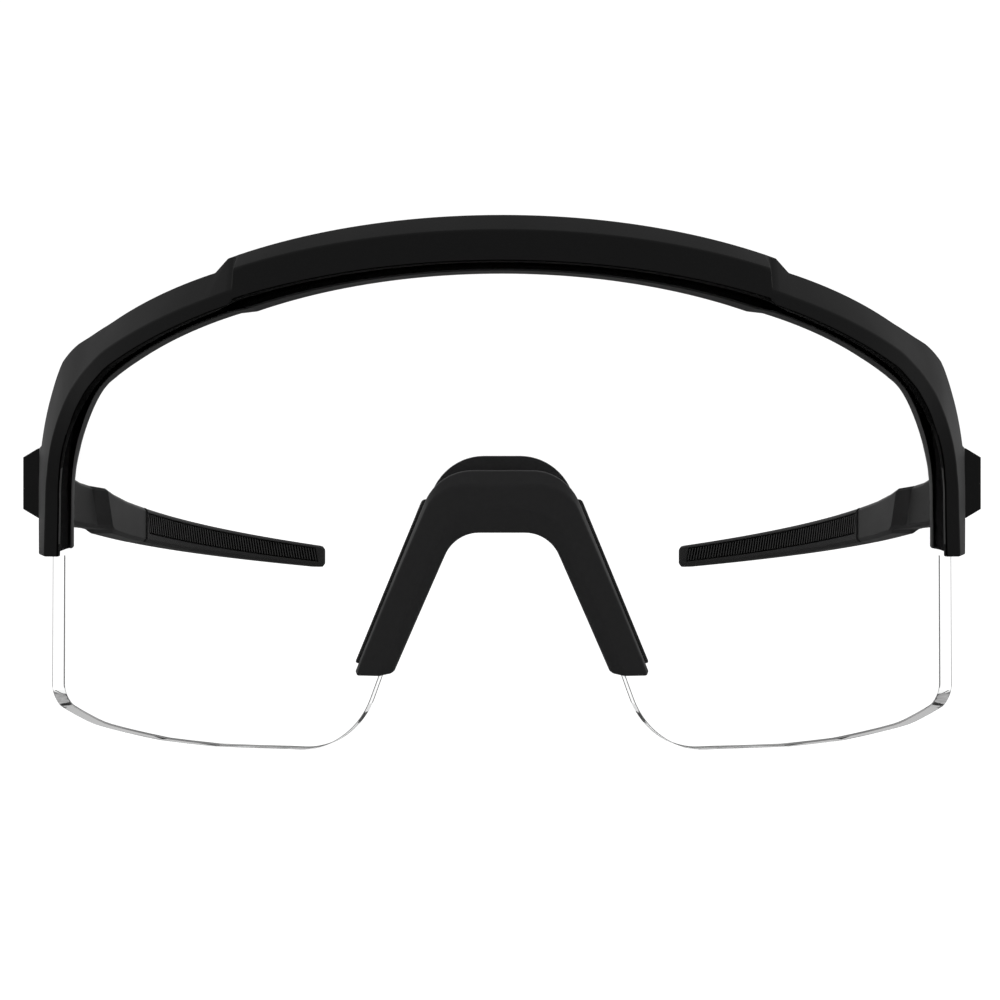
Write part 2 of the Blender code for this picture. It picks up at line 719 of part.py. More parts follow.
def hinge_screw():
    """The wearer's left hinge screw: a slotted head in the upper ear and a shank down to the insert."""
    head_top = UPPER_EAR[1] - 0.1
    head_floor = head_top - SCREW_HEAD_HEIGHT
    screw = upright_rod(
        "hinge_screw_left", HINGE_X, HINGE_Y, (LOWER_EAR[0] + 0.1, head_floor + 0.2), SCREW_RADIUS, "screw_steel"
    )
    head = upright_rod("head", HINGE_X, HINGE_Y, (head_floor, head_top), SCREW_HEAD_RADIUS, "screw_steel")
    screw = join(screw, head)
    slot = block(
        "slot",
        (HINGE_X - 2.0, HINGE_Y - 0.17, head_top - 0.35),
        (HINGE_X + 2.0, HINGE_Y + 0.17, head_top + 1.0),
        "screw_steel",
    )
    return cut(screw, slot)


def hinge_insert():
    """The wearer's left threaded insert, pressed into the lower ear."""
    span = (LOWER_EAR[0], LOWER_EAR[1])
    insert = upright_rod("hinge_insert_left", HINGE_X, HINGE_Y, span, INSERT_RADIUS, "insert_brass")
    bore = upright_rod("bore", HINGE_X, HINGE_Y, (-5.0, 2.0), SCREW_RADIUS + BORE_PLAY, "insert_brass")
    return cut(insert, bore)


def hinge_washer(name, low_z):
    """A thin washer round the screw, between an ear and the arm's knuckle."""
    span = (low_z, low_z + WASHER_THICKNESS)
    washer = upright_rod(name, HINGE_X, HINGE_Y, span, WASHER_RADIUS, "washer_nylon")
    bore = upright_rod("bore", HINGE_X, HINGE_Y, (-5.0, 9.0), SCREW_RADIUS + BORE_PLAY, "washer_nylon")
    return cut(washer, bore)


def washer_floor(gap_floor):
    """Where a washer starts in the gap above this height, with equal play on both faces."""
    return gap_floor + (KNUCKLE_GAP - WASHER_THICKNESS) / 2


# ---------------------------------------------------------------- assembly


def hang(piece, parent, origin, collection):
    """Hangs a piece on its parent, with its own origin at a design point.

    A pivot stands on its hinge's axis, so a piece whose origin is there too has no offset from it.
    """
    place = Vector(origin) * MM
    piece.data.transform(Matrix.Translation(-place))
    piece.parent = parent
    piece.location = place - Vector(parent.get("stands_at", (0.0, 0.0, 0.0)))
    bpy.context.scene.collection.objects.unlink(piece)
    collection.objects.link(piece)


def empty_at(name, place, parent, collection):
    """An empty for the pieces that stay together."""
    pivot = bpy.data.objects.new(name, None)
    pivot.empty_display_size = 0.01
    pivot.location = place
    pivot.parent = parent
    collection.objects.link(pivot)
    return pivot


def shade(piece):
    """Smooth faces with crisp edges where the surface turns by more than 25 degrees."""
    piece.data.shade_smooth()
    piece.data.set_sharp_from_angle(angle=math.radians(25.0))


def left_side():
    """The pieces on the wearer's left, as those that stay with the frame and those that fold."""
    lower_gap, upper_gap = LOWER_EAR[1], UPPER_EAR[0] - KNUCKLE_GAP
    fixed = [
        nose_pad(),
        hinge_screw(),
        hinge_insert(),
        hinge_washer("hinge_washer_lower_left", washer_floor(lower_gap)),
        hinge_washer("hinge_washer_upper_left", washer_floor(upper_gap)),
    ]
    core = core_rod("temple_core_left", CORE_START, CORE_END, CORE_RADIUS)
    folding = [temple_arm(), temple_sleeve(), ear_grip(), core]
    return fixed, folding


def assemble():
    """Builds the middle and the left side, mirrors the side to the right, and hangs them on the pivots."""
    clear_scene()
    glasses = bpy.data.collections.new("sport_sunglasses")
    bpy.context.scene.collection.children.link(glasses)
    whole = empty_at("assembly", (0.0, -MIDDLE_Y * MM, -LENS_FOOT_Z * MM), None, glasses)

    for piece in (brow_frame(), shield_lens(), nose_bridge_front(), nose_bridge_rear()):
        hang(piece, whole, (0.0, 0.0, 0.0), glasses)
        shade(piece)

    pivots = {}
    for side, sign in (("left", 1.0), ("right", -1.0)):
        place = (sign * HINGE_X * MM, HINGE_Y * MM, 0.0)
        pivots[side] = empty_at(f"temple_pivot_{side}", place, whole, glasses)
        pivots[side]["stands_at"] = place

    fixed, folding = left_side()
    for source in fixed + folding:
        twin = mirrored(source, source.name.replace("left", "right"))
        for piece, side, sign in ((source, "left", 1.0), (twin, "right", -1.0)):
            parent = pivots[side] if source in folding else whole
            on_axis = not source.name.startswith("nose")
            origin = (sign * HINGE_X, HINGE_Y, 0.0) if on_axis else (0.0, 0.0, 0.0)
            hang(piece, parent, origin, glasses)
            shade(piece)


assemble()
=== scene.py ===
"""Looks of a pair of wraparound sport glasses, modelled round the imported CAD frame.

The pieces are laid out in millimetres from a design origin on the lens's front face, in the middle, at the
height of the wearer's pupils: X to the wearer's left, Y back to the ear tips, Z up. Each mesh is stored in
metres at its place in the row frame.
"""

import logging
import math
from collections.abc import Callable, Sequence
from dataclasses import dataclass, field
from enum import Enum

import bmesh
import bpy
from mathutils import Matrix, Vector


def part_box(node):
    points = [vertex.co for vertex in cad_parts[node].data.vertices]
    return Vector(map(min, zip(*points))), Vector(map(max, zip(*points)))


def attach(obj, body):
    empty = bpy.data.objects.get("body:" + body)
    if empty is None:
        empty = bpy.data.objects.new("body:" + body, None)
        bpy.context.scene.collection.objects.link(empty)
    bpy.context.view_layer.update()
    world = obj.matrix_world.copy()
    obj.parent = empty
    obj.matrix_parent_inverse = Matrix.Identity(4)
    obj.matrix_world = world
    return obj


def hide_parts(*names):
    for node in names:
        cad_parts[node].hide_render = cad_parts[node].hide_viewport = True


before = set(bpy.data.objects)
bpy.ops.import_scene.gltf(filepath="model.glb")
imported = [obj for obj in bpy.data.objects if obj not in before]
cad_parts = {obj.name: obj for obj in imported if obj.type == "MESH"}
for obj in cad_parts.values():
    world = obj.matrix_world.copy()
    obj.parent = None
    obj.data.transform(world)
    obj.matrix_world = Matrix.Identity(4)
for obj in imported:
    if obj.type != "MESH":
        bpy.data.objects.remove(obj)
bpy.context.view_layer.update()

log = logging.getLogger("sport_glasses")

MM = 0.001
Ring = list[Vector]


class Side(Enum):
    """The wearer's side that a piece is on, with the sign of its X."""

    LEFT = ("left", 1.0)
    RIGHT = ("right", -1.0)

    @property
    def label(self) -> str:
        """The word used in piece and body names."""
        return self.value[0]

    @property
    def sign(self) -> float:
        """+1 on the wearer's left and -1 on the right."""
        return self.value[1]


class Cut(Enum):
    """What a Boolean does with the second solid."""

    JOIN = "UNION"
    REMOVE = "DIFFERENCE"


# ------------------------------------------------------------------------------------------ modelling


def design_origin() -> Vector:
    """Finds where the design origin sits in the row frame.

    Returns:
        The point in metres, from the lens's front face and lower edge.
    """
    low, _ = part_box("shield_lens")
    return Vector((0.0, low.y, low.z + 30.65 * MM))


ORIGIN = design_origin()


def placed(point: Vector) -> Vector:
    """Turns a design point in millimetres into a row frame point in metres."""
    return ORIGIN + point * MM


def deselect_all() -> None:
    """Leaves nothing selected, so that the next operator acts only on what it is given."""
    if bpy.context.object and bpy.context.object.mode != "OBJECT":
        bpy.ops.object.mode_set(mode="OBJECT")
    bpy.ops.object.select_all(action="DESELECT")


def make_active(piece: bpy.types.Object) -> None:
    """Selects one piece, alone, and makes it the active one."""
    deselect_all()
    piece.select_set(True)
    bpy.context.view_layer.objects.active = piece


def close_editing(piece: bpy.types.Object) -> None:
    """Leaves edit mode, with the normals pointing out of the solid."""
    bpy.ops.mesh.select_all(action="SELECT")
    bpy.ops.mesh.normals_make_consistent(inside=False)
    bpy.ops.object.mode_set(mode="OBJECT")
    piece.data.update()


def extrude_through(name: str, rings: Sequence[Ring]) -> bpy.types.Object:
    """Models a solid from a filled outline that is extruded once for each further section.

    Args:
        name: the piece's name.
        rings: sections of equally many points, in design millimetres.

    Returns:
        The closed solid, at the origin, with its place in its mesh.
    """
    deselect_all()
    bpy.ops.mesh.primitive_circle_add(vertices=len(rings[0]), radius=MM, fill_type="NGON")
    piece = bpy.context.object
    piece.name = piece.data.name = name
    for vertex, point in zip(piece.data.vertices, rings[0]):
        vertex.co = placed(point)
    bpy.ops.object.mode_set(mode="EDIT")
    bpy.ops.mesh.select_mode(type="FACE")
    bpy.ops.mesh.select_all(action="SELECT")
    last = [placed(point) for point in rings[0]]
    for ring in rings[1:]:
        bpy.ops.mesh.extrude_region_move(TRANSFORM_OT_translate={"value": (0.0, 0.0, 0.0)})
        shape = bmesh.from_edit_mesh(piece.data)
        fresh = [vertex for vertex in shape.verts if vertex.select]
        targets = [placed(point) for point in ring]
        for vertex in fresh:
            nearest = min(range(len(last)), key=lambda i: (last[i] - vertex.co).length_squared)
            vertex.co = targets[nearest]
        last = targets
    bmesh.update_edit_mesh(piece.data)
    close_editing(piece)
    return piece


def apply_modifier(piece: bpy.types.Object, kind: str, **settings: object) -> None:
    """Adds one modifier with its settings and applies it.

    Args:
        piece: the piece to change.
        kind: Blender's name for the modifier.
        settings: the modifier's properties.
    """
    make_active(piece)
    change = piece.modifiers.new(kind.lower(), kind)
    for key, value in settings.items():
        setattr(change, key, value)
    bpy.ops.object.modifier_apply(modifier=change.name)


def round_edges(piece: bpy.types.Object, width: float, segments: int = 3, sharper_than: float = 24.0) -> None:
    """Rounds the edges where the surface turns sharply.

    Args:
        piece: the piece to change.
        width: the bevel's width in millimetres.
        segments: faces across the rounding.
        sharper_than: the least turn, in degrees, that is rounded.
    """
    apply_modifier(
        piece,
        "BEVEL",
        width=width * MM,
        segments=segments,
        limit_method="ANGLE",
        angle_limit=math.radians(sharper_than),
        miter_outer="MITER_ARC",
        use_clamp_overlap=True,
    )


def combine(piece: bpy.types.Object, other: bpy.types.Object, how: Cut) -> None:
    """Joins another solid to a piece, or cuts it away, and removes the other.

    Args:
        piece: the piece that stays.
        other: the solid that is used up.
        how: whether to join or to remove.
    """
    apply_modifier(piece, "BOOLEAN", object=other, operation=how.value, solver="EXACT")
    bpy.data.objects.remove(other)


def smooth(piece: bpy.types.Object, sharper_than: float = 40.0) -> None:
    """Shades a piece smooth up to an angle, with flat faces keeping their own normals."""
    make_active(piece)
    bpy.ops.object.shade_smooth_by_angle(angle=math.radians(sharper_than))
    apply_modifier(piece, "WEIGHTED_NORMAL", mode="FACE_AREA", weight=70, keep_sharp=True)


def upright_rod(name: str, x: float, y: float, span: tuple[float, float], radius: float) -> bpy.types.Object:
    """Adds a closed rod along Z.

    Args:
        name: the rod's name.
        x: its axis's place, in design millimetres.
        y: its axis's place, in design millimetres.
        span: its lower and upper end.
        radius: its radius.

    Returns:
        The rod, with its place in its mesh.
    """
    deselect_all()
    height = (span[1] - span[0]) * MM
    centre = placed(Vector((x, y, (span[0] + span[1]) / 2)))
    bpy.ops.mesh.primitive_cylinder_add(vertices=48, radius=radius * MM, depth=height, location=centre)
    return settle(name)


def block(name: str, low: Sequence[float], high: Sequence[float]) -> bpy.types.Object:
    """Adds a closed block between two corners given in design millimetres."""
    deselect_all()
    middle = Vector([(a + b) / 2 for a, b in zip(low, high)])
    bpy.ops.mesh.primitive_cube_add(size=1.0, location=placed(middle))
    bpy.context.object.scale = [(b - a) * MM for a, b in zip(low, high)]
    return settle(name)


def settle(name: str) -> bpy.types.Object:
    """Names the active object and moves its place, turn and scale into its mesh."""
    bpy.ops.object.transform_apply(location=True, rotation=True, scale=True)
    piece = bpy.context.object
    piece.name = piece.data.name = name
    return piece


def mirrored_copy(piece: bpy.types.Object, name: str) -> bpy.types.Object:
    """Copies a piece, with its own mesh, to the other side of the YZ plane.

    Args:
        piece: the piece on the wearer's left.
        name: the copy's name.

    Returns:
        The copy, with its normals pointing out.
    """
    make_active(piece)
    bpy.ops.object.duplicate(linked=False)
    twin = bpy.context.object
    twin.scale.x = -1.0
    bpy.ops.object.transform_apply(location=True, rotation=True, scale=True)
    twin.name = twin.data.name = name
    make_active(twin)
    bpy.ops.object.mode_set(mode="EDIT")
    close_editing(twin)
    return twin


def mix(a: Sequence[float], b: Sequence[float], share: float) -> tuple[float, ...]:
    """Every number of a moved that share of the way to b."""
    return tuple(x + (y - x) * share for x, y in zip(a, b))


def ease(share: float) -> float:
    """Smooth 0 to 1."""
    share = min(1.0, max(0.0, share))
    return share * share * (3.0 - 2.0 * share)


def filleted(corners: Sequence[tuple[float, float, float]], fineness: float = 4.0) -> list[Vector]:
    """Rounds the corners of an open outline.

    Args:
        corners: each corner's place on the sheet and its radius.
        fineness: the most degrees that one step of an arc turns.

    Returns:
        The outline's points.
    """
    points = [Vector(corners[0][:2])]
    for before, here, after in zip(corners, corners[1:], corners[2:]):
        tip = Vector(here[:2])
        if here[2] == 0.0:
            points.append(tip)
            continue
        back = (Vector(before[:2]) - tip).normalized()
        on = (Vector(after[:2]) - tip).normalized()
        half = back.angle(on) / 2
        centre = tip + (back + on).normalized() * (here[2] / math.sin(half))
        start = tip + back * (here[2] / math.tan(half)) - centre
        turn = math.pi - 2 * half
        side = 1.0 if start.cross(on) > 0 else -1.0
        steps = max(2, math.ceil(math.degrees(turn) / fineness))
        for i in range(steps + 1):
            points.append(centre + Matrix.Rotation(side * turn * i / steps, 2) @ start)
    points.append(Vector(corners[-1][:2]))
    return points


# ------------------------------------------------------------------------------------------ finishes


def linear(colour: str) -> tuple[float, float, float, float]:
    """Turns an sRGB hex colour into linear RGBA.

    Args:
        colour: six hex digits after a hash.

    Returns:
        Red, green, blue and an alpha of 1.
    """
    parts = [int(colour[i : i + 2], 16) / 255 for i in (1, 3, 5)]
    return (*(c / 12.92 if c <= 0.04045 else ((c + 0.055) / 1.055) ** 2.4 for c in parts), 1.0)


def add_node(
    tree: bpy.types.NodeTree, kind: str, inputs: dict[str | int, object] | None = None, **settings: object
) -> bpy.types.Node:
    """Adds one node with its settings, values and links.

    Args:
        tree: the node tree.
        kind: the node's type.
        inputs: for each input, its value or the socket that feeds it.
        settings: the node's own properties.

    Returns:
        The node.
    """
    node = tree.nodes.new(kind)
    for key, value in settings.items():
        setattr(node, key, value)
    for key, value in (inputs or {}).items():
        if isinstance(value, bpy.types.NodeSocket):
            tree.links.new(value, node.inputs[key])
        else:
            node.inputs[key].default_value = value
    return node


@dataclass(frozen=True)
class Finish:
    """What every finish has: the material's name and the way to start its tree."""

    name: str

    def blank(self) -> tuple[bpy.types.Material, bpy.types.NodeTree, bpy.types.NodeSocket]:
        """Starts a material with only its output and object coordinates.

        Returns:
            The material, its tree and the coordinates in metres.
        """
        made = bpy.data.materials.new(self.name)
        made.use_nodes = True
        tree = made.node_tree
        tree.nodes.clear()
        place = add_node(tree, "ShaderNodeTexCoord")
        return made, tree, place.outputs["Object"]

    def material(self) -> bpy.types.Material:
        """Builds the material."""
        raise NotImplementedError

    def dress(self, *pieces: bpy.types.Object) -> None:
        """Gives the pieces this finish."""
        made = bpy.data.materials.get(self.name) or self.material()
        for piece in pieces:
            piece.data.materials.clear()
            piece.data.materials.append(made)

    def add_to(self, piece: bpy.types.Object, chosen: Sequence[bool]) -> None:
        """Gives some of a piece's faces this finish beside the one it has.

        Args:
            piece: the dressed piece.
            chosen: for each face, whether it gets this finish.
        """
        piece.data.materials.append(bpy.data.materials.get(self.name) or self.material())
        slot = len(piece.data.materials) - 1
        for face, wanted in zip(piece.data.polygons, chosen):
            if wanted:
                face.material_index = slot


@dataclass(frozen=True)
class MouldedPlastic(Finish):
    """Black nylon, injection moulded against a spark-eroded tool.

    The tool leaves an even, very fine grain, which scatters the gloss, and slow drifts in sheen.
    """

    dark: str
    light: str
    roughness: float
    spread: float
    grain_mm: float
    grain_depth_mm: float
    specular: float = 0.5

    def material(self) -> bpy.types.Material:
        """Builds the grain, the drift in sheen and the colour.

        Returns:
            The material.
        """
        made, tree, place = self.blank()
        grain = add_node(
            tree,
            "ShaderNodeTexNoise",
            {"Vector": place, "Scale": 1.0 / (self.grain_mm * MM), "Detail": 2.0, "Roughness": 0.6},
        )
        drift = add_node(
            tree, "ShaderNodeTexNoise", {"Vector": place, "Scale": 1.0 / (14.0 * MM), "Detail": 3.0}
        )
        specks = add_node(
            tree,
            "ShaderNodeTexNoise",
            {"Vector": place, "Scale": 1.0 / (self.grain_mm * 3.0 * MM), "Detail": 1.0},
        )
        tone = add_node(
            tree,
            "ShaderNodeMix",
            {"Factor": specks.outputs["Fac"], 6: linear(self.dark), 7: linear(self.light)},
            data_type="RGBA",
        )
        sheen = add_node(
            tree,
            "ShaderNodeMapRange",
            {
                "Value": drift.outputs["Fac"],
                "From Min": 0.3,
                "From Max": 0.7,
                "To Min": self.roughness - self.spread,
                "To Max": self.roughness + self.spread,
            },
        )
        bump = add_node(
            tree,
            "ShaderNodeBump",
            {"Height": grain.outputs["Fac"], "Strength": 0.5, "Distance": self.grain_depth_mm * MM},
        )
        shader = add_node(
            tree,
            "ShaderNodeBsdfPrincipled",
            {
                "Base Color": tone.outputs[2],
                "Roughness": sheen.outputs["Result"],
                "Normal": bump.outputs["Normal"],
                "IOR": 1.53,
                "Specular IOR Level": self.specular,
            },
        )
        add_node(tree, "ShaderNodeOutputMaterial", {"Surface": shader.outputs["BSDF"]})
        return made


@dataclass(frozen=True)
class SoftRubber(Finish):
    """Black thermoplastic rubber, moulded: a dull skin with a slight bloom of dust."""

    dark: str
    bloom: str
    roughness: float
    specular: float

    def material(self) -> bpy.types.Material:
        """Builds the bloom, the dull skin and its fine pebble.

        Returns:
            The material.
        """
        made, tree, place = self.blank()
        pebble = add_node(tree, "ShaderNodeTexVoronoi", {"Vector": place, "Scale": 1.0 / (0.35 * MM)})
        bloom = add_node(
            tree, "ShaderNodeTexNoise", {"Vector": place, "Scale": 1.0 / (6.0 * MM), "Detail": 4.0}
        )
        tone = add_node(
            tree,
            "ShaderNodeMix",
            {"Factor": bloom.outputs["Fac"], 6: linear(self.dark), 7: linear(self.bloom)},
            data_type="RGBA",
        )
        skin = add_node(
            tree,
            "ShaderNodeMapRange",
            {"Value": bloom.outputs["Fac"], "To Min": self.roughness - 0.05, "To Max": self.roughness + 0.07},
        )
        bump = add_node(
            tree,
            "ShaderNodeBump",
            {"Height": pebble.outputs["Distance"], "Strength": 0.25, "Distance": 0.02 * MM},
        )
        shader = add_node(
            tree,
            "ShaderNodeBsdfPrincipled",
            {
                "Base Color": tone.outputs[2],
                "Roughness": skin.outputs["Result"],
                "Normal": bump.outputs["Normal"],
                "IOR": 1.5,
                "Specular IOR Level": self.specular,
            },
        )
        add_node(tree, "ShaderNodeOutputMaterial", {"Surface": shader.outputs["BSDF"]})
        return made


@dataclass(frozen=True)
class HardCoatedSheet(Finish):
    """The lens's two faces: clear polycarbonate with a hard anti-glare coat.

    It is too thin and even to bend the view, so the eye gets only the clear sheet and a faint gloss that
    rises towards a glancing view.
    """

    tint: str
    gloss_ahead: float
    gloss_glancing: float

    def material(self) -> bpy.types.Material:
        """Builds the clear sheet under its gloss.

        Returns:
            The material.
        """
        made, tree, place = self.blank()
        wipe = add_node(
            tree, "ShaderNodeTexNoise", {"Vector": place, "Scale": 1.0 / (30.0 * MM), "Detail": 2.0}
        )
        polish = add_node(
            tree, "ShaderNodeMapRange", {"Value": wipe.outputs["Fac"], "To Min": 0.0, "To Max": 0.05}
        )
        slope = add_node(tree, "ShaderNodeLayerWeight", {"Blend": 0.5})
        rise = add_node(tree, "ShaderNodeMath", {0: slope.outputs["Facing"], 1: 5.0}, operation="POWER")
        share = add_node(
            tree,
            "ShaderNodeMapRange",
            {"Value": rise.outputs["Value"], "To Min": self.gloss_ahead, "To Max": self.gloss_glancing},
        )
        clear = add_node(tree, "ShaderNodeBsdfTransparent", {"Color": linear(self.tint)})
        gloss = add_node(
            tree, "ShaderNodeBsdfGlossy", {"Color": linear("#ffffff"), "Roughness": polish.outputs["Result"]}
        )
        both = add_node(
            tree, "ShaderNodeMixShader", {0: share.outputs["Result"], 1: clear.outputs[0], 2: gloss.outputs[0]}
        )
        add_node(tree, "ShaderNodeOutputMaterial", {"Surface": both.outputs["Shader"]})
        return made


@dataclass(frozen=True)
class PolishedEdge(Finish):
    """The lens's cut edge: bare polycarbonate, which bends and mirrors what is behind the frame."""

    tint: str
    ior: float

    def material(self) -> bpy.types.Material:
        """Builds the clear edge, with a polish that varies a little.

        Returns:
            The material.
        """
        made, tree, place = self.blank()
        wipe = add_node(tree, "ShaderNodeTexNoise", {"Vector": place, "Scale": 1.0 / (4.0 * MM), "Detail": 2.0})
        polish = add_node(
            tree, "ShaderNodeMapRange", {"Value": wipe.outputs["Fac"], "To Min": 0.0, "To Max": 0.03}
        )
        tone = add_node(
            tree,
            "ShaderNodeMix",
            {"Factor": wipe.outputs["Fac"], 6: linear(self.tint), 7: linear("#ffffff")},
            data_type="RGBA",
        )
        shader = add_node(
            tree,
            "ShaderNodeBsdfPrincipled",
            {
                "Base Color": tone.outputs[2],
                "Roughness": polish.outputs["Result"],
                "Transmission Weight": 1.0,
                "IOR": self.ior,
            },
        )
        add_node(tree, "ShaderNodeOutputMaterial", {"Surface": shader.outputs["BSDF"]})
        return made


@dataclass(frozen=True)
class TurnedMetal(Finish):
    """A small turned part: bare metal with fine rings from the tool and some handling dulling."""

    colour: str
    worn: str
    roughness: float

    def material(self) -> bpy.types.Material:
        """Builds the tool rings and the uneven gloss.

        Returns:
            The material.
        """
        made, tree, place = self.blank()
        rings = add_node(
            tree,
            "ShaderNodeTexWave",
            {"Vector": place, "Scale": 1.0 / (0.6 * MM), "Distortion": 1.5, "Detail": 2.0},
            bands_direction="Z",
        )
        worn = add_node(tree, "ShaderNodeTexNoise", {"Vector": place, "Scale": 1.0 / (0.9 * MM), "Detail": 3.0})
        tone = add_node(
            tree,
            "ShaderNodeMix",
            {"Factor": worn.outputs["Fac"], 6: linear(self.colour), 7: linear(self.worn)},
            data_type="RGBA",
        )
        gloss = add_node(
            tree,
            "ShaderNodeMapRange",
            {"Value": worn.outputs["Fac"], "To Min": self.roughness - 0.08, "To Max": self.roughness + 0.12},
        )
        bump = add_node(
            tree, "ShaderNodeBump", {"Height": rings.outputs["Fac"], "Strength": 0.2, "Distance": 0.01 * MM}
        )
        shader = add_node(
            tree,
            "ShaderNodeBsdfPrincipled",
            {
                "Base Color": tone.outputs[2],
                "Roughness": gloss.outputs["Result"],
                "Normal": bump.outputs["Normal"],
                "Metallic": 1.0,
            },
        )
        add_node(tree, "ShaderNodeOutputMaterial", {"Surface": shader.outputs["BSDF"]})
        return made


FRAME_NYLON = MouldedPlastic("matte_moulded_nylon", "#0e0e0f", "#131314", 0.47, 0.04, 0.22, 0.012)
# Painted shade: the groove's walls and the front lip's underside are the same moulding, painted darker and
# duller to stand in for the deep shade inside the groove.
GROOVE_PAINTED_SHADE = MouldedPlastic("painted_groove_shade_nylon", "#020202", "#030303", 0.6, 0.04, 0.22, 0.012, 0.05)
BRIDGE_NYLON = MouldedPlastic("satin_moulded_nylon", "#3c3c3d", "#424243", 0.44, 0.03, 0.2, 0.01)
WASHER_NYLON = MouldedPlastic("natural_nylon", "#c9c8c2", "#d6d5cf", 0.5, 0.05, 0.2, 0.01)
SLEEVE_RUBBER = SoftRubber("soft_touch_rubber", "#0e0e0e", "#151515", 0.55, 0.5)
GRIP_RUBBER = SoftRubber("ribbed_grip_rubber", "#020202", "#040404", 0.75, 0.1)
# Painted highlight: the tops of the ribs are painted lighter and glossier than the near-black grip, as where
# the light falls on them, while the gaps between them stay dark.
RIB_CREST_HIGHLIGHT = SoftRubber("rib_crest_painted_highlight_rubber", "#383838", "#404040", 0.5, 0.8)
LENS_FACE = HardCoatedSheet("hard_coated_polycarbonate", "#ffffff", 0.004, 0.5)
LENS_EDGE = PolishedEdge("polished_polycarbonate_edge", "#f6f9f8", 1.586)
SCREW_STEEL = TurnedMetal("turned_stainless_steel", "#c4c4c6", "#9c9c9f", 0.3)
INSERT_BRASS = TurnedMetal("turned_brass", "#cfae6a", "#a98c52", 0.35)


# ------------------------------------------------------------------------------------------ lens and brow


@dataclass
class Sheet:
    """The upright cylinder that the lens is moulded on. Everything at the front is laid out round it."""

    radius: float = 80.0
    thickness: float = 1.8

    def at(self, s: float, z: float, n: float) -> Vector:
        """A design point from the way round the sheet, the height and the way out of its front face."""
        angle = s / self.radius
        reach = self.radius + n
        return Vector((reach * math.sin(angle), self.radius - reach * math.cos(angle), z))


@dataclass
class Rim:
    """The line round the open field of view, from the middle of the brow down to the end of a leg."""

    top_z: float = 27.5
    top_radius: float = 158.0
    corner_radius: float = 15.0
    leg_s: float = 71.7
    leg_end_z: float = -7.8

    @property
    def corner_angle(self) -> float:
        """Where the brow's arc hands over to the corner's, from the vertical, in radians."""
        return math.asin((self.leg_s - self.corner_radius) / (self.top_radius - self.corner_radius))

    @property
    def corner_start(self) -> float:
        """Length along the rim to the start of the corner."""
        return self.top_radius * self.corner_angle

    @property
    def corner_end(self) -> float:
        """Length along the rim to the end of the corner."""
        return self.corner_start + self.corner_radius * (math.pi / 2 - self.corner_angle)

    @property
    def corner_centre(self) -> Vector:
        """Centre of the corner's arc on the unrolled sheet."""
        out = Vector((math.sin(self.corner_angle), math.cos(self.corner_angle)))
        return Vector((0.0, self.top_z - self.top_radius)) + (self.top_radius - self.corner_radius) * out

    @property
    def leg_end(self) -> float:
        """Length along the rim to the end of the leg."""
        return self.corner_end + self.corner_centre.y - self.leg_end_z

    def point(self, run: float) -> tuple[Vector, Vector]:
        """Finds the rim's place and its outward direction on the unrolled sheet.

        Args:
            run: length along the rim from the middle of the brow.

        Returns:
            The place and the unit direction away from the view.
        """
        if run <= self.corner_start:
            turn = run / self.top_radius
            out = Vector((math.sin(turn), math.cos(turn)))
            return Vector((0.0, self.top_z - self.top_radius)) + self.top_radius * out, out
        if run <= self.corner_end:
            turn = self.corner_angle + (run - self.corner_start) / self.corner_radius
            out = Vector((math.sin(turn), math.cos(turn)))
            return self.corner_centre + self.corner_radius * out, out
        return Vector((self.leg_s, self.corner_centre.y - (run - self.corner_end))), Vector((1.0, 0.0))


Section = tuple[tuple[float, float], ...]


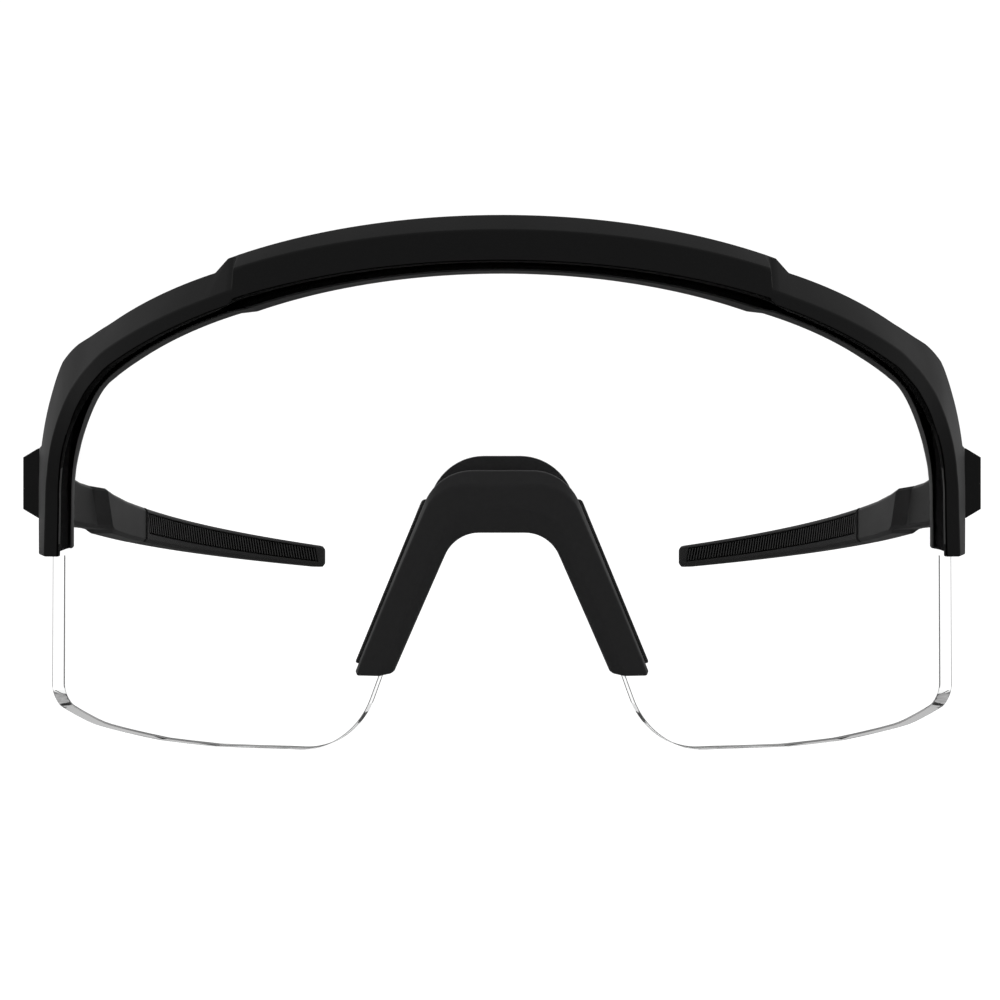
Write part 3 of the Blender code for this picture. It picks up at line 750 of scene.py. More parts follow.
@dataclass
class BrowFrame:
    """The half-rim frame: a grooved arch over the lens with a raised brow, and a hinge mount at each end.

    A section lists its corners as the way out from the rim and the way forward of the lens, from the
    front lip's lower edge over the brow, down the back and round the lens groove. The raised brow drops
    first at the face's upper edge, then at the lip, and last over the top and back. The key runs are the
    lengths along the rim at side_end, turn_near, turn_early, turn_middle, turn_end and leg.
    """

    sheet: Sheet
    rim: Rim
    face_drop: tuple[float, float] = (32.55, 33.2)
    raised_to: float = 34.2
    ramp: float = 2.6
    key_runs: tuple[float, ...] = (56.4, 61.4, 67.9, 71.4, 78.4, 84.0)
    groove_back: float = -2.4
    groove_front: float = 0.2
    rear_wall_shortfall: float = 0.95
    rear_wall: range = range(4, 9)
    raised: Section = (
        (0.5, 1.6), (4.1, 1.6), (6.3, -0.4), (6.3, -4.2), (5.3, -5.4), (0.3, -5.4),
        (0.0, -5.0), (0.0, -2.4), (3.1, -2.4), (3.1, 0.2), (0.5, 0.2),
    )  # fmt: skip
    side_start: Section = (
        (-0.1, 1.6), (1.6, 1.6), (5.35, -1.0), (5.35, -4.4), (4.4, -5.4), (0.8, -5.4),
        (0.5, -5.0), (0.3, -2.4), (3.1, -2.4), (3.1, 0.2), (0.1, 0.2),
    )  # fmt: skip
    side_end: Section = (
        (-0.45, 1.6), (1.8, 1.6), (6.4, -1.0), (6.3, -4.4), (5.2, -5.4), (2.0, -5.4),
        (1.6, -5.0), (0.8, -2.4), (3.1, -2.4), (3.1, 0.2), (-0.2, 0.2),
    )  # fmt: skip
    turn_near: Section = (
        (-1.35, 1.6), (1.15, 1.65), (7.0, -0.95), (6.7, -4.2), (5.6, -5.4), (2.4, -5.4),
        (2.0, -5.0), (0.9, -2.4), (3.1, -2.4), (3.1, 0.2), (-1.0, 0.2),
    )  # fmt: skip
    turn_start: Section = (
        (-2.3, 1.5), (0.3, 1.8), (7.5, -0.8), (7.5, -3.9), (6.0, -5.4), (2.7, -5.4),
        (2.2, -4.9), (0.65, -2.4), (2.95, -2.4), (2.95, 0.2), (-1.8, 0.2),
    )  # fmt: skip
    turn_early: Section = (
        (-3.2, 1.35), (-0.8, 1.95), (8.0, -0.55), (8.3, -3.5), (6.5, -5.3), (2.9, -5.2),
        (2.5, -4.7), (0.05, -2.4), (2.6, -2.4), (2.6, 0.2), (-2.5, 0.2),
    )  # fmt: skip
    turn_middle: Section = (
        (-3.6, 1.2), (-1.6, 2.1), (7.25, -0.3), (8.6, -3.2), (6.8, -5.2), (2.9, -4.9),
        (2.4, -4.4), (-0.3, -2.4), (2.25, -2.4), (2.25, 0.2), (-2.6, 0.2),
    )  # fmt: skip
    turn_end: Section = (
        (-3.9, 1.0), (-2.55, 2.3), (6.7, 0.1), (8.9, -1.9), (6.5, -5.0), (2.8, -4.0),
        (1.2, -3.2), (0.0, -2.4), (1.6, -2.4), (1.6, 0.2), (-2.8, 0.2),
    )  # fmt: skip
    leg: Section = (
        (-3.85, 1.0), (-2.25, 2.3), (6.1, 0.27), (8.8, -1.1), (6.4, -4.9), (2.6, -3.6),
        (0.7, -2.8), (0.1, -2.4), (1.3, -2.4), (1.3, 0.2), (-2.7, 0.2),
    )  # fmt: skip
    leg_foot: Section = (
        (-3.5, 1.0), (-1.8, 2.3), (6.0, 0.27), (8.8, -1.1), (6.4, -4.9), (2.6, -3.6),
        (0.9, -2.8), (0.6, -2.4), (1.3, -2.4), (1.3, 0.2), (-2.5, 0.2),
    )  # fmt: skip
    hinge_x: float = 65.4
    hinge_y: float = 42.1
    barrel_radius: float = 1.9
    stop_face_y: float = 39.7
    lower_ear: tuple[float, float] = (-2.8, -0.7)
    upper_ear: tuple[float, float] = (5.5, 7.5)

    @property
    def ramp_end(self) -> float:
        """Length along the rim to the foot of the raised brow's end."""
        return self.raised_to + self.ramp

    def section(self, run: float) -> Section:
        """Finds the section at one place along the rim.

        Args:
            run: length along the rim from the middle of the brow.

        Returns:
            The section's corners.
        """
        side_end, near, early, middle, late, straight = self.key_runs
        keys = (
            (self.ramp_end, self.side_start),
            (side_end, self.side_end),
            (near, self.turn_near),
            (self.rim.corner_start, self.turn_start),
            (early, self.turn_early),
            (middle, self.turn_middle),
            (late, self.turn_end),
            (straight, self.leg),
            (self.rim.leg_end, self.leg_foot),
        )
        lowered = self.side_start
        for (start, before), (end, after) in zip(keys, keys[1:]):
            if start < run <= end + 1e-6:
                lowered = tuple(mix(a, b, (run - start) / (end - start)) for a, b in zip(before, after))
        drops = {0: (self.face_drop[1], self.raised_to), 1: self.face_drop}
        corners = []
        for index, (high, low) in enumerate(zip(self.raised, lowered)):
            start, end = drops.get(index, (self.raised_to, self.ramp_end))
            share = min(1.0, max(0.0, (run - start) / (end - start)))
            corners.append(mix(high, low, share))
        return tuple(corners)

    def stations(self) -> list[float]:
        """Places along half the rim where a section is set."""
        marks = (
            0.0, *self.face_drop, self.raised_to, self.ramp_end, self.rim.corner_start, self.rim.corner_end,
            self.rim.leg_end,
        )  # fmt: skip
        places = [0.0]
        for start, end, steps in zip(marks, marks[1:], (22, 1, 1, 1, 22, 26, 5)):
            places += [start + (end - start) * i / steps for i in range(1, steps + 1)]
        return places

    def ring(self, run: float, side: Side) -> Ring:
        """Lays one section out in space.

        Args:
            run: length along the rim from the middle of the brow.
            side: the wearer's side.

        Returns:
            The section's corners in design millimetres.
        """
        middle, out = self.rim.point(run)
        at_end = run >= self.rim.leg_end - 1e-6
        corners = []
        for index, (b, n) in enumerate(self.section(run)):
            place = middle + b * out
            lift = self.rear_wall_shortfall if at_end and index in self.rear_wall else 0.0
            corners.append(self.sheet.at(side.sign * place.x, place.y + lift, n))
        return corners

    def arch(self) -> bpy.types.Object:
        """Models the grooved arch, with its edges rounded as the mould leaves them."""
        places = self.stations()
        rings = [self.ring(run, Side.RIGHT) for run in reversed(places[1:])]
        rings += [self.ring(run, Side.LEFT) for run in places]
        arch = extrude_through("brow_moulding", rings)
        round_edges(arch, 0.28, 3, 17.0)
        return arch

    def ear(self, span: tuple[float, float]) -> bpy.types.Object:
        """Models one ear: a barrel round the hinge's axis and the web that carries it."""
        ear = upright_rod("ear", self.hinge_x, self.hinge_y, span, self.barrel_radius)
        half = self.barrel_radius - 0.02
        low = (self.hinge_x - half, self.stop_face_y - 1.5, span[0])
        high = (self.hinge_x + half, self.hinge_y - 0.2, span[1])
        combine(ear, block("web", low, high), Cut.JOIN)
        return ear

    def end_block(self) -> bpy.types.Object:
        """Models the block behind a leg, whose back face stops the open temple, with its two bored ears."""
        bottom, top, chamfer = self.lower_ear[0] - 0.7, self.upper_ear[1] + 0.8, 0.8
        plan = ((63.4, self.stop_face_y), (62.9, 36.8), (63.3, 33.6), (65.5, 33.6), (66.7, 36.2),
                (67.2, self.stop_face_y))  # fmt: skip
        middle_x = sum(x for x, _ in plan) / len(plan)
        rings = []
        for z, inset in ((bottom, chamfer), (bottom + chamfer, 0.0), (top - chamfer, 0.0), (top, chamfer)):
            rings.append([Vector((x + (inset if x < middle_x else -inset), y, z)) for x, y in plan])
        mount = extrude_through("hinge_mount", rings)
        round_edges(mount, 0.15, 2, 24.0)
        for span in (self.lower_ear, self.upper_ear):
            combine(mount, self.ear(span), Cut.JOIN)
        bores = (
            ((self.lower_ear[0] - 2.0, self.upper_ear[1] + 2.0), 0.85),
            ((self.upper_ear[1] - 1.05, self.upper_ear[1] + 2.0), 1.45),
            ((self.lower_ear[0] - 2.0, self.lower_ear[1] + 0.2), 1.3),
        )
        for span, radius in bores:
            combine(mount, upright_rod("bore", self.hinge_x, self.hinge_y, span, radius), Cut.REMOVE)
        return mount

    def gets_painted_groove_shade(self, arch: bpy.types.Object, face: bpy.types.MeshPolygon) -> bool:
        """Tells whether a face belongs to the lens groove or to the underside of its front lip, the faces that
        get painted shade.

        Args:
            arch: the finished arch.
            face: one of its faces.

        Returns:
            Whether it is on one of the groove's two walls, or on the lip and turned to the view.
        """
        outs = []
        for corner in face.vertices:
            point = (arch.data.vertices[corner].co - ORIGIN) / MM
            outs.append(math.hypot(point.x, self.sheet.radius - point.y) - self.sheet.radius)
        walls = (self.groove_back, self.groove_front)
        if all(min(abs(out - wall) for wall in walls) < 0.02 for out in outs):
            return True
        middle = (face.center - ORIGIN) / MM
        angle = math.atan2(middle.x, self.sheet.radius - middle.y)
        s = self.sheet.radius * angle
        view_reach, view_z = 45.0, -5.0
        away = Vector((s - max(-view_reach, min(view_reach, s)), middle.z - view_z)).normalized()
        across = face.normal.x * math.cos(angle) + face.normal.y * math.sin(angle)
        on_lip = min(outs) > self.groove_front - 0.1 and max(outs) < 1.7
        return on_lip and away.dot((across, face.normal.z)) < -0.6

    def build(self) -> bpy.types.Object:
        """Models the whole frame and dresses it.

        Returns:
            The finished piece, riding on the front body.
        """
        arch = self.arch()
        mount = self.end_block()
        other = mirrored_copy(mount, "hinge_mount_right")
        combine(arch, mount, Cut.JOIN)
        combine(arch, other, Cut.JOIN)
        smooth(arch, 38.0)
        FRAME_NYLON.dress(arch)
        # The groove's walls and the lip's underside get painted shade: a darker, duller finish.
        GROOVE_PAINTED_SHADE.add_to(arch, [self.gets_painted_groove_shade(arch, face) for face in arch.data.polygons])
        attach(arch, "front")
        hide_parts("brow_frame")
        return arch


@dataclass
class ShieldLens:
    """One clear sheet across both eyes, with a foot on each side and an arch over the nose."""

    sheet: Sheet
    brow: BrowFrame
    side_s: float = 72.6
    foot_z: float = -30.65
    nose_arch_z: float = -0.6
    edge_round: float = 0.14
    strip: float = 0.8
    groove_play: float = 0.35

    def outline(self) -> list[Vector]:
        """Lays out the lens's closed edge on the unrolled sheet, with the upper part in the groove."""
        upper = []
        for run in self.brow.stations():
            middle, out = self.brow.rim.point(run)
            groove_depth = self.brow.section(run)[8][0]
            upper.append(middle + (groove_depth - self.groove_play) * out)
        lower = filleted((
            (self.side_s, self.brow.rim.leg_end_z, 0.0),
            (self.side_s + 0.2, -26.8, 2.0),
            (70.4, -28.5, 6.0),
            (60.0, -30.0, 30.0),
            (46.0, self.foot_z, 0.0),
            (37.0, self.foot_z, 0.0),
            (27.0, -30.25, 0.0),
            (18.1, -30.1, 10.0),
            (7.0, self.nose_arch_z, 4.6),
            (0.0, self.nose_arch_z, 0.0),
        ))  # fmt: skip
        half = upper[1:-1] + lower[:-1]
        return [upper[0], *half, lower[-1], *(Vector((-p.x, p.y)) for p in reversed(half))]

    def flat_blank(self) -> bpy.types.Object:
        """Models the lens flat, as a cut-out plate with eased edges, in strips fine enough to roll round."""
        outline = self.outline()
        deselect_all()
        bpy.ops.mesh.primitive_circle_add(vertices=len(outline), radius=MM, fill_type="NGON")
        blank = bpy.context.object
        blank.name = blank.data.name = "shield_sheet"
        for vertex, point in zip(blank.data.vertices, outline):
            vertex.co = Vector((point.x, 0.0, point.y)) * MM
        bpy.ops.object.mode_set(mode="EDIT")
        bpy.ops.mesh.select_mode(type="FACE")
        bpy.ops.mesh.select_all(action="SELECT")
        depth = (0.0, self.sheet.thickness * MM, 0.0)
        bpy.ops.mesh.extrude_region_move(TRANSFORM_OT_translate={"value": depth})
        close_editing(blank)
        round_edges(blank, self.edge_round, 2, 50.0)
        bpy.ops.object.mode_set(mode="EDIT")
        reach = max(p.x for p in outline)
        count = math.ceil(reach / self.strip)
        for i in range(-count + 1, count):
            bpy.ops.mesh.select_all(action="SELECT")
            place = (i * self.strip * MM, 0.0, 0.0)
            bpy.ops.mesh.bisect(plane_co=place, plane_no=(1.0, 0.0, 0.0), threshold=1e-6)
        close_editing(blank)
        return blank

    def is_bare_edge(self, face: bpy.types.MeshPolygon) -> bool:
        """Tells whether a face of the flat blank is a cut or eased edge below the frame.

        The upright cuts at the sides are coated like the faces, so only their eased corners count.
        """
        if abs(face.normal.y) > 0.95 or face.center.z > self.brow.rim.leg_end_z * MM:
            return False
        return abs(face.normal.y) > 0.3 or abs(face.normal.x) < 0.9

    def build(self) -> bpy.types.Object:
        """Rolls the flat blank round the sheet's cylinder and dresses it.

        Returns:
            The finished lens, riding on the front body.
        """
        lens = self.flat_blank()
        LENS_FACE.dress(lens)
        LENS_EDGE.add_to(lens, [self.is_bare_edge(face) for face in lens.data.polygons])
        for vertex in lens.data.vertices:
            s, depth, z = vertex.co / MM
            vertex.co = placed(self.sheet.at(s, z, -depth))
        smooth(lens, 30.0)
        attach(lens, "front")
        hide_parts("shield_lens")
        return lens


# ------------------------------------------------------------------------------------------ nose bridge


@dataclass
class BridgeLine:
    """One edge of a bridge half: a level arch, a rounded shoulder and a straight leg."""

    arch_z: float
    flat_to: float
    radius: float
    knee_s: float
    foot: tuple[float, float]

    def points(self, steps: int) -> list[Vector]:
        """Samples the line from the middle of the arch to the foot.

        Args:
            steps: points on each of the line's three stretches.

        Returns:
            Points on the unrolled sheet.
        """
        corner = filleted(((self.flat_to, self.arch_z, 0.0), (self.knee_s, self.arch_z, self.radius),
                           (*self.foot, 0.0)), 1.0)  # fmt: skip
        arc = corner[1:-1]
        level = [Vector((self.flat_to * i / steps, self.arch_z)) for i in range(steps)]
        shoulder = [arc[round(i * (len(arc) - 1) / steps)] for i in range(steps + 1)]
        leg = [arc[-1].lerp(corner[-1], i / steps) for i in range(1, steps + 1)]
        return level + shoulder + leg


@dataclass
class NoseBridge:
    """The faceted clip in front of the lens, the carrier behind it and the two soft pads."""

    sheet: Sheet
    front_outer: BridgeLine = field(default_factory=lambda: BridgeLine(3.5, 3.3, 6.0, 7.45, (17.35, -20.4)))
    front_inner: BridgeLine = field(default_factory=lambda: BridgeLine(-3.85, 2.4, 4.4, 5.5, (12.75, -20.4)))
    rear_outer: BridgeLine = field(default_factory=lambda: BridgeLine(5.3, 2.2, 7.0, 6.85, (16.6, -17.0)))
    rear_inner: BridgeLine = field(default_factory=lambda: BridgeLine(-3.6, 2.4, 4.4, 5.7, (12.2, -17.0)))
    clip_back: float = 0.3
    clip_front: float = 2.5
    foot_drop: float = 0.35
    carrier_front: float = -2.5
    carrier_back: float = -4.1
    steps: int = 12

    def half(
        self,
        name: str,
        lines: tuple[BridgeLine, BridgeLine],
        section: Callable[[float], tuple[tuple[float, float, bool], ...]],
    ) -> bpy.types.Object:
        """Models a bridge solid from one foot over the arch to the other.

        Args:
            name: the piece's name.
            lines: its outer and inner edge.
            section: gives each row's corners, as the share of the way in, the way forward of the lens and
                whether the corner is on the front face.

        Returns:
            The solid.
        """
        rows = list(zip(lines[0].points(self.steps), lines[1].points(self.steps)))
        last = len(rows) - 1
        rings = []
        for sign, order in ((-1.0, range(last, 0, -1)), (1.0, range(last + 1))):
            for index in order:
                outer, inner = rows[index]
                ring = []
                for share, n, on_face in section(index / last):
                    place = outer.lerp(inner, share)
                    drop = self.foot_drop if on_face and index == last else 0.0
                    ring.append(self.sheet.at(sign * place.x, place.y - drop, n))
                rings.append(ring)
        return extrude_through(name, rings)

    def clip(self) -> bpy.types.Object:
        """Models the front clip, with a broad face between two bevels that narrow down the legs."""

        def section(share: float) -> tuple[tuple[float, float, bool], ...]:
            """The six corners of one row."""
            down = ease(share * 1.6 - 0.3)
            upper = 0.26 + (0.13 - 0.26) * down
            lower = 0.60 + (0.74 - 0.60) * down
            return (
                (0.0, self.clip_back, False),
                (0.0, self.clip_back + 0.9, False),
                (upper, self.clip_front, True),
                (lower, self.clip_front, True),
                (1.0, self.clip_back + 1.1, False),
                (1.0, self.clip_back, False),
            )

        clip = self.half("bridge_clip", (self.front_outer, self.front_inner), section)
        round_edges(clip, 0.3, 3, 14.0)
        smooth(clip, 40.0)
        return clip

    def carrier(self) -> bpy.types.Object:
        """Models the carrier behind the lens."""

        def section(_: float) -> tuple[tuple[float, float, bool], ...]:
            """The six corners of one row."""
            return (
                (0.0, self.carrier_front, False),
                (1.0, self.carrier_front, False),
                (1.0, self.carrier_back + 0.4, False),
                (0.9, self.carrier_back, False),
                (0.1, self.carrier_back, False),
                (0.0, self.carrier_back + 0.4, False),
            )

        carrier = self.half("bridge_carrier", (self.rear_outer, self.rear_inner), section)
        round_edges(carrier, 0.2, 2, 20.0)
        smooth(carrier, 40.0)
        return carrier

    def pad(self) -> bpy.types.Object:
        """Models the wearer's left pad: a soft wing, deepest a third of the way up."""
        top_z, foot_z, rows, gap = 0.1, -20.1, 12, 0.35
        rings = []
        for i in range(rows + 1):
            share = i / rows
            z = top_z + (foot_z - top_z) * share
            outer = 9.75 + (18.15 - 9.75) * share
            front = self.sheet.at(outer, z, self.carrier_back).y + gap
            depth = 3.2 + 6.6 * math.sin(math.pi * min(1.0, 0.12 + 0.80 * share)) ** 0.8
            end = 1.0 if 0 < i < rows else 0.62
            thick = 3.0 * end
            back = front + depth * (0.94 if end < 1.0 else 1.0)
            lean = 0.05 * depth
            rings.append([
                Vector((outer - 0.3, front, z)),
                Vector((outer, front + 0.7, z)),
                Vector((outer + lean * 0.7, back - 0.9, z)),
                Vector((outer + lean * 0.6 - 0.5, back, z)),
                Vector((outer + lean * 0.6 - thick * 0.7, back, z)),
                Vector((outer + lean * 0.5 - thick * 0.95, back - 1.0, z)),
                Vector((outer - thick * 1.05, front + 0.9, z)),
                Vector((outer - thick, front, z)),
            ])  # fmt: skip
        pad = extrude_through("nose_cushion_left", rings)
        round_edges(pad, 0.45, 3, 20.0)
        smooth(pad, 60.0)
        return pad

    def build(self) -> list[bpy.types.Object]:
        """Models and dresses the four pieces.

        Returns:
            Clip, carrier, left pad and right pad, riding on the front body.
        """
        clip, carrier, left = self.clip(), self.carrier(), self.pad()
        right = mirrored_copy(left, "nose_cushion_right")
        smooth(right, 60.0)
        BRIDGE_NYLON.dress(clip, carrier)
        SLEEVE_RUBBER.dress(left, right)
        replaced = {"nose_bridge_front": clip, "nose_bridge_rear": carrier, "nose_pad_left": left,
                    "nose_pad_right": right}  # fmt: skip
        for node, piece in replaced.items():
            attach(piece, "front")
            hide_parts(node)
        return list(replaced.values())


# ------------------------------------------------------------------------------------------ temples


@dataclass
class Temple:
    """One temple: hinge head and hard stem, the soft ear sleeve round its tongue, and the ribbed grip.

    It is laid out on the wearer's left by the length along its inner face from the start of its bend, the
    way out from that face, and the height. The right one is its mirror image.
    """

    brow: BrowFrame
    inner_x: float = 62.9
    bend_y: float = 70.0
    bend_radius: float = 215.0
    length: float = 97.0
    thickness: float = 4.3
    top_z: float = -0.2
    bottom_z: float = -6.4
    top_fall: float = 0.1105
    bottom_fall: float = 0.0980
    facet_slant: float = 3.4
    face_x: float = 70.35
    sleeve_start: float = 10.6
    sleeve_seam: float = 0.25
    tongue_end: float = 45.0
    core_end: float = 90.0
    grip_start: float = 11.3
    grip_end: float = 92.2
    grip_depth: float = 1.3
    rib_count: int = 68
    rib_height: float = 0.45
    rib_slant: float = 1.2
    bead: float = 0.22

    def at(self, run: float, w: float, z: float) -> Vector:
        """A design point of the left temple."""
        if run <= 0.0:
            return Vector((self.inner_x + w, self.bend_y + run, z))
        angle = run / self.bend_radius
        reach = self.bend_radius + w
        x = self.inner_x - self.bend_radius + reach * math.cos(angle)
        return Vector((x, self.bend_y + reach * math.sin(angle), z))

    def edges(self, run: float) -> tuple[float, float]:
        """Lower and upper edge of the rear part."""
        return self.bottom_z - self.bottom_fall * run, self.top_z - self.top_fall * run

    def ring(
        self,
        run: float,
        faces: tuple[float, float],
        heights: tuple[float, float],
        out_cut: tuple[float, float] = (0.9, 1.1),
        low_cut: tuple[float, float] = (0.5, 0.6),
        top_cut: tuple[float, float] = (0.4, 0.5),
        slant: float = 0.0,
    ) -> Ring:
        """Lays out the eight corners of a section.

        Args:
            run: length along the inner face.
            faces: the way out to the inner and the outer face.
            heights: the lower and upper edge.
            out_cut: the outer bevels, across and down.
            low_cut: the lower inner bevel, across and up.
            top_cut: the upper inner bevel, across and down.
            slant: how much further back the lower edge is than the upper one.

        Returns:
            The corners, from the lower inner edge outward and round.
        """
        (inner, outer), (bottom, top) = faces, heights
        corners = (
            (inner + low_cut[0], bottom), (outer - out_cut[0], bottom), (outer, bottom + out_cut[1]),
            (outer, top - out_cut[1]), (outer - out_cut[0], top), (inner + top_cut[0], top),
            (inner, top - top_cut[1]), (inner, bottom + low_cut[1]),
        )  # fmt: skip
        return [self.at(run + slant * (top - z) / (top - bottom), w, z) for w, z in corners]

    def strip(self, name: str, stretch: tuple[float, float], faces: tuple[float, float],
              heights: Callable[[float], tuple[float, float]], steps: int,
              slant: float = 0.0) -> bpy.types.Object:  # fmt: skip
        """Models a plain strip that follows the temple's curve.

        Args:
            name: the strip's name.
            stretch: where it starts and ends along the temple.
            faces: the way out to its inner and outer face.
            heights: gives its lower and upper edge.
            steps: sections along it.
            slant: how much further back its lower edge is than its upper one.

        Returns:
            The strip.
        """
        rings = []
        for i in range(steps + 1):
            run = stretch[0] + (stretch[1] - stretch[0]) * i / steps
            low, high = heights(run)
            corners = ((faces[0], low), (faces[1], low), (faces[1], high), (faces[0], high))
            rings.append([self.at(run + (slant if z == low else 0.0), w, z) for w, z in corners])
        return extrude_through(name, rings)

    def tongue(self, start: float, end: float, play: float) -> bpy.types.Object:
        """Models the blade that joins stem and sleeve, or with play its pocket."""

        def heights(run: float) -> tuple[float, float]:
            """The blade's edges, evenly about the temple's middle."""
            middle = sum(self.edges(run)) / 2
            return middle - 1.15 - play, middle + 1.15 + play

        return self.strip("tongue", (start, end), (1.95 - play, 3.05 + play), heights, 9)

    def core(self, start: float, end: float, radius: float) -> bpy.types.Object:
        """Models the round channel for the wire core."""
        rings = []
        for i in range(13):
            run = start + (end - start) * i / 12
            middle = sum(self.edges(run)) / 2
            turns = [2 * math.pi * (k + 0.5) / 12 for k in range(12)]
            rings.append([
                self.at(run, 2.5 + radius * math.cos(turn), middle + radius * math.sin(turn)) for turn in turns
            ])  # fmt: skip
        return extrude_through("core", rings)

    def stem(self) -> bpy.types.Object:
        """Models the hard part: hinge head, knuckle, slanted step and stem, and the tongue in the sleeve."""
        head, small, narrow = (2.2, 1.33), (0.2, 0.2), (0.4, 0.5)
        inset = self.brow.hinge_x + self.brow.barrel_radius + 0.2 - self.inner_x
        face = self.face_x - self.inner_x
        front = self.brow.stop_face_y + 0.3 - self.bend_y
        ends = [self.ring(run, (0.0, self.thickness), self.edges(run)) for run in (0.0, 3.0, 6.0)]
        last = self.sleeve_start - self.sleeve_seam
        low, high = self.edges(last)
        rings = [
            self.ring(front, (inset, face), (-2.65, 7.6), head, small, small),
            self.ring(-25.9, (inset, face), (-2.75, 7.45), head, small, small),
            self.ring(-25.5, (2.7, face), (-3.2, 7.4), (3.3, 2.0), (0.7, 0.9), (0.5, 0.5)),
            self.ring(-22.5, (2.5, 7.2), (-3.65, 3.6), (2.9, 1.9), (0.5, 0.6), narrow),
            self.ring(-19.0, (2.1, 6.8), (-4.1, 2.7), (2.2, 1.7), (0.5, 0.6), narrow),
            self.ring(-15.3, (1.7, 6.1), (-4.5, 2.25), (1.6, 1.4), (0.5, 0.6), narrow, self.facet_slant),
            self.ring(-12.5, (0.0, 6.0), (-4.75, 1.85), (1.4, 1.3), (0.5, 0.6), narrow, self.facet_slant),
            self.ring(-8.0, (0.0, 5.2), (-5.45, 0.95), (1.2, 1.2)),
            self.ring(-4.5, (0.0, 4.7), (-5.85, 0.45)),
            *ends,
            self.ring(last, (0.0, self.thickness), (low, high)),
        ]
        stem = extrude_through("temple_stem_left", rings)
        round_edges(stem, 0.22, 3, 24.0)
        combine(stem, self.tongue(self.sleeve_start - 2.0, self.tongue_end, 0.0), Cut.JOIN)
        combine(stem, self.core(39.6, self.tongue_end + 1.0, 0.6), Cut.REMOVE)
        x, y = self.brow.hinge_x, self.brow.hinge_y
        span = (self.brow.lower_ear[1] + 0.6, self.brow.upper_ear[0] - 0.6)
        knuckle = upright_rod("knuckle", x, y, span, self.brow.barrel_radius)
        back = y + self.brow.barrel_radius - 0.05
        web = block("web", (x, y - 1.4, span[0]), (x + self.brow.barrel_radius + 1.4, back, span[1]))
        combine(knuckle, web, Cut.JOIN)
        combine(knuckle, upright_rod("bore", x, y, (-3.0, 8.0), 0.85), Cut.REMOVE)
        combine(stem, knuckle, Cut.JOIN)
        smooth(stem, 38.0)
        return stem

    def grip_band(self, run: float) -> tuple[float, float]:
        """Lower and upper edge of the grip's recess."""
        low, high = self.edges(run)
        share = (run - self.grip_start) / (self.grip_end - self.grip_start)
        return low + 1.5 - 0.5 * share, high - 0.7

    def sleeve(self) -> bpy.types.Object:
        """Models the soft ear sleeve, with a bead at its start, a round tip, a pocket and a recess."""
        full, steps = self.length - 1.8, 40
        rings = []
        collar = (0.0, 0.15, 0.45, 0.6)
        places = [self.sleeve_start + step for step in collar]
        places += [places[-1] + (full - places[-1]) * i / steps for i in range(1, steps + 1)]
        for index, run in enumerate(places):
            proud = self.bead if index in (1, 2) else 0.0
            outer = self.thickness - 0.5 * run / self.length
            rings.append(self.ring(run, (-proud, outer), self.edges(run)))
        for back, trim in ((0.8, 0.1), (0.3, 0.35), (0.0, 0.75)):
            low, high = self.edges(self.length - back)
            faces = (0.5 * trim, self.thickness - 0.5 - 0.7 * trim)
            rings.append(self.ring(self.length - back, faces, (low + trim, high - trim)))
        sleeve = extrude_through("ear_sleeve_left", rings)
        round_edges(sleeve, 0.3, 3, 24.0)
        combine(sleeve, self.tongue(self.sleeve_start - 1.0, self.tongue_end + 0.6, 0.15), Cut.REMOVE)
        combine(sleeve, self.core(self.tongue_end - 1.0, self.core_end + 0.4, 0.6), Cut.REMOVE)
        stretch = (self.grip_start, self.grip_end)
        recess = self.strip("recess", stretch, (-1.0, self.grip_depth), self.grip_band, 40, self.rib_slant)
        combine(sleeve, recess, Cut.REMOVE)
        smooth(sleeve, 38.0)
        return sleeve

    def grip(self) -> bpy.types.Object:
        """Models the grip: a rubber strip with narrow slanted ribs."""
        play, back = 0.12, self.grip_depth - 0.25
        start, end = self.grip_start + play, self.grip_end - play
        pitch = (end - start) / self.rib_count
        profile = (
            (0.0, self.rib_height), (0.14, 0.13), (0.28, 0.0), (0.56, 0.0), (0.70, 0.13),
            (0.84, self.rib_height),
        )  # fmt: skip
        places = [(start + (i + part) * pitch, w) for i in range(self.rib_count) for part, w in profile]
        places.append((end, self.rib_height))
        rings = []
        for run, w in places:
            low, high = self.grip_band(run)
            eased = 0.18 if w < 0.3 else 0.02
            corners = (
                (w + eased, low + play), (back, low + play), (back, high - play), (w + eased, high - play),
                (w, high - play - eased), (w, low + play + eased),
            )  # fmt: skip
            rings.append([self.at(run + self.rib_slant * (high - z) / (high - low), w, z) for w, z in corners])
        grip = extrude_through("ribbed_grip_left", rings)
        smooth(grip, 30.0)
        return grip

    def gets_painted_rib_highlight(self, grip: bpy.types.Object, face: bpy.types.MeshPolygon) -> bool:
        """Tells whether a face of a grip is the land on top of a rib, which gets the painted highlight."""
        point = (grip.matrix_world @ face.center - ORIGIN) / MM
        reach = math.hypot(abs(point.x) - self.inner_x + self.bend_radius, point.y - self.bend_y)
        slack = 0.04
        return reach - self.bend_radius < slack

    def build(self) -> list[bpy.types.Object]:
        """Models the left temple's pieces, mirrors them and dresses both sides.

        Returns:
            The six finished pieces, each riding on its own temple's body.
        """
        finished = []
        parts = (
            (self.stem(), "temple_arm", FRAME_NYLON, "frame_plastic", 38.0),
            (self.sleeve(), "temple_sleeve", SLEEVE_RUBBER, "soft_rubber", 38.0),
            (self.grip(), "ear_grip", GRIP_RUBBER, "grip_rubber", 30.0),
        )
        for left, node, finish, slot, crease in parts:
            right = mirrored_copy(left, left.name.replace("left", "right"))
            smooth(right, crease)
            finish.dress(left, right)
            if finish is GRIP_RUBBER:
                for grip in (left, right):
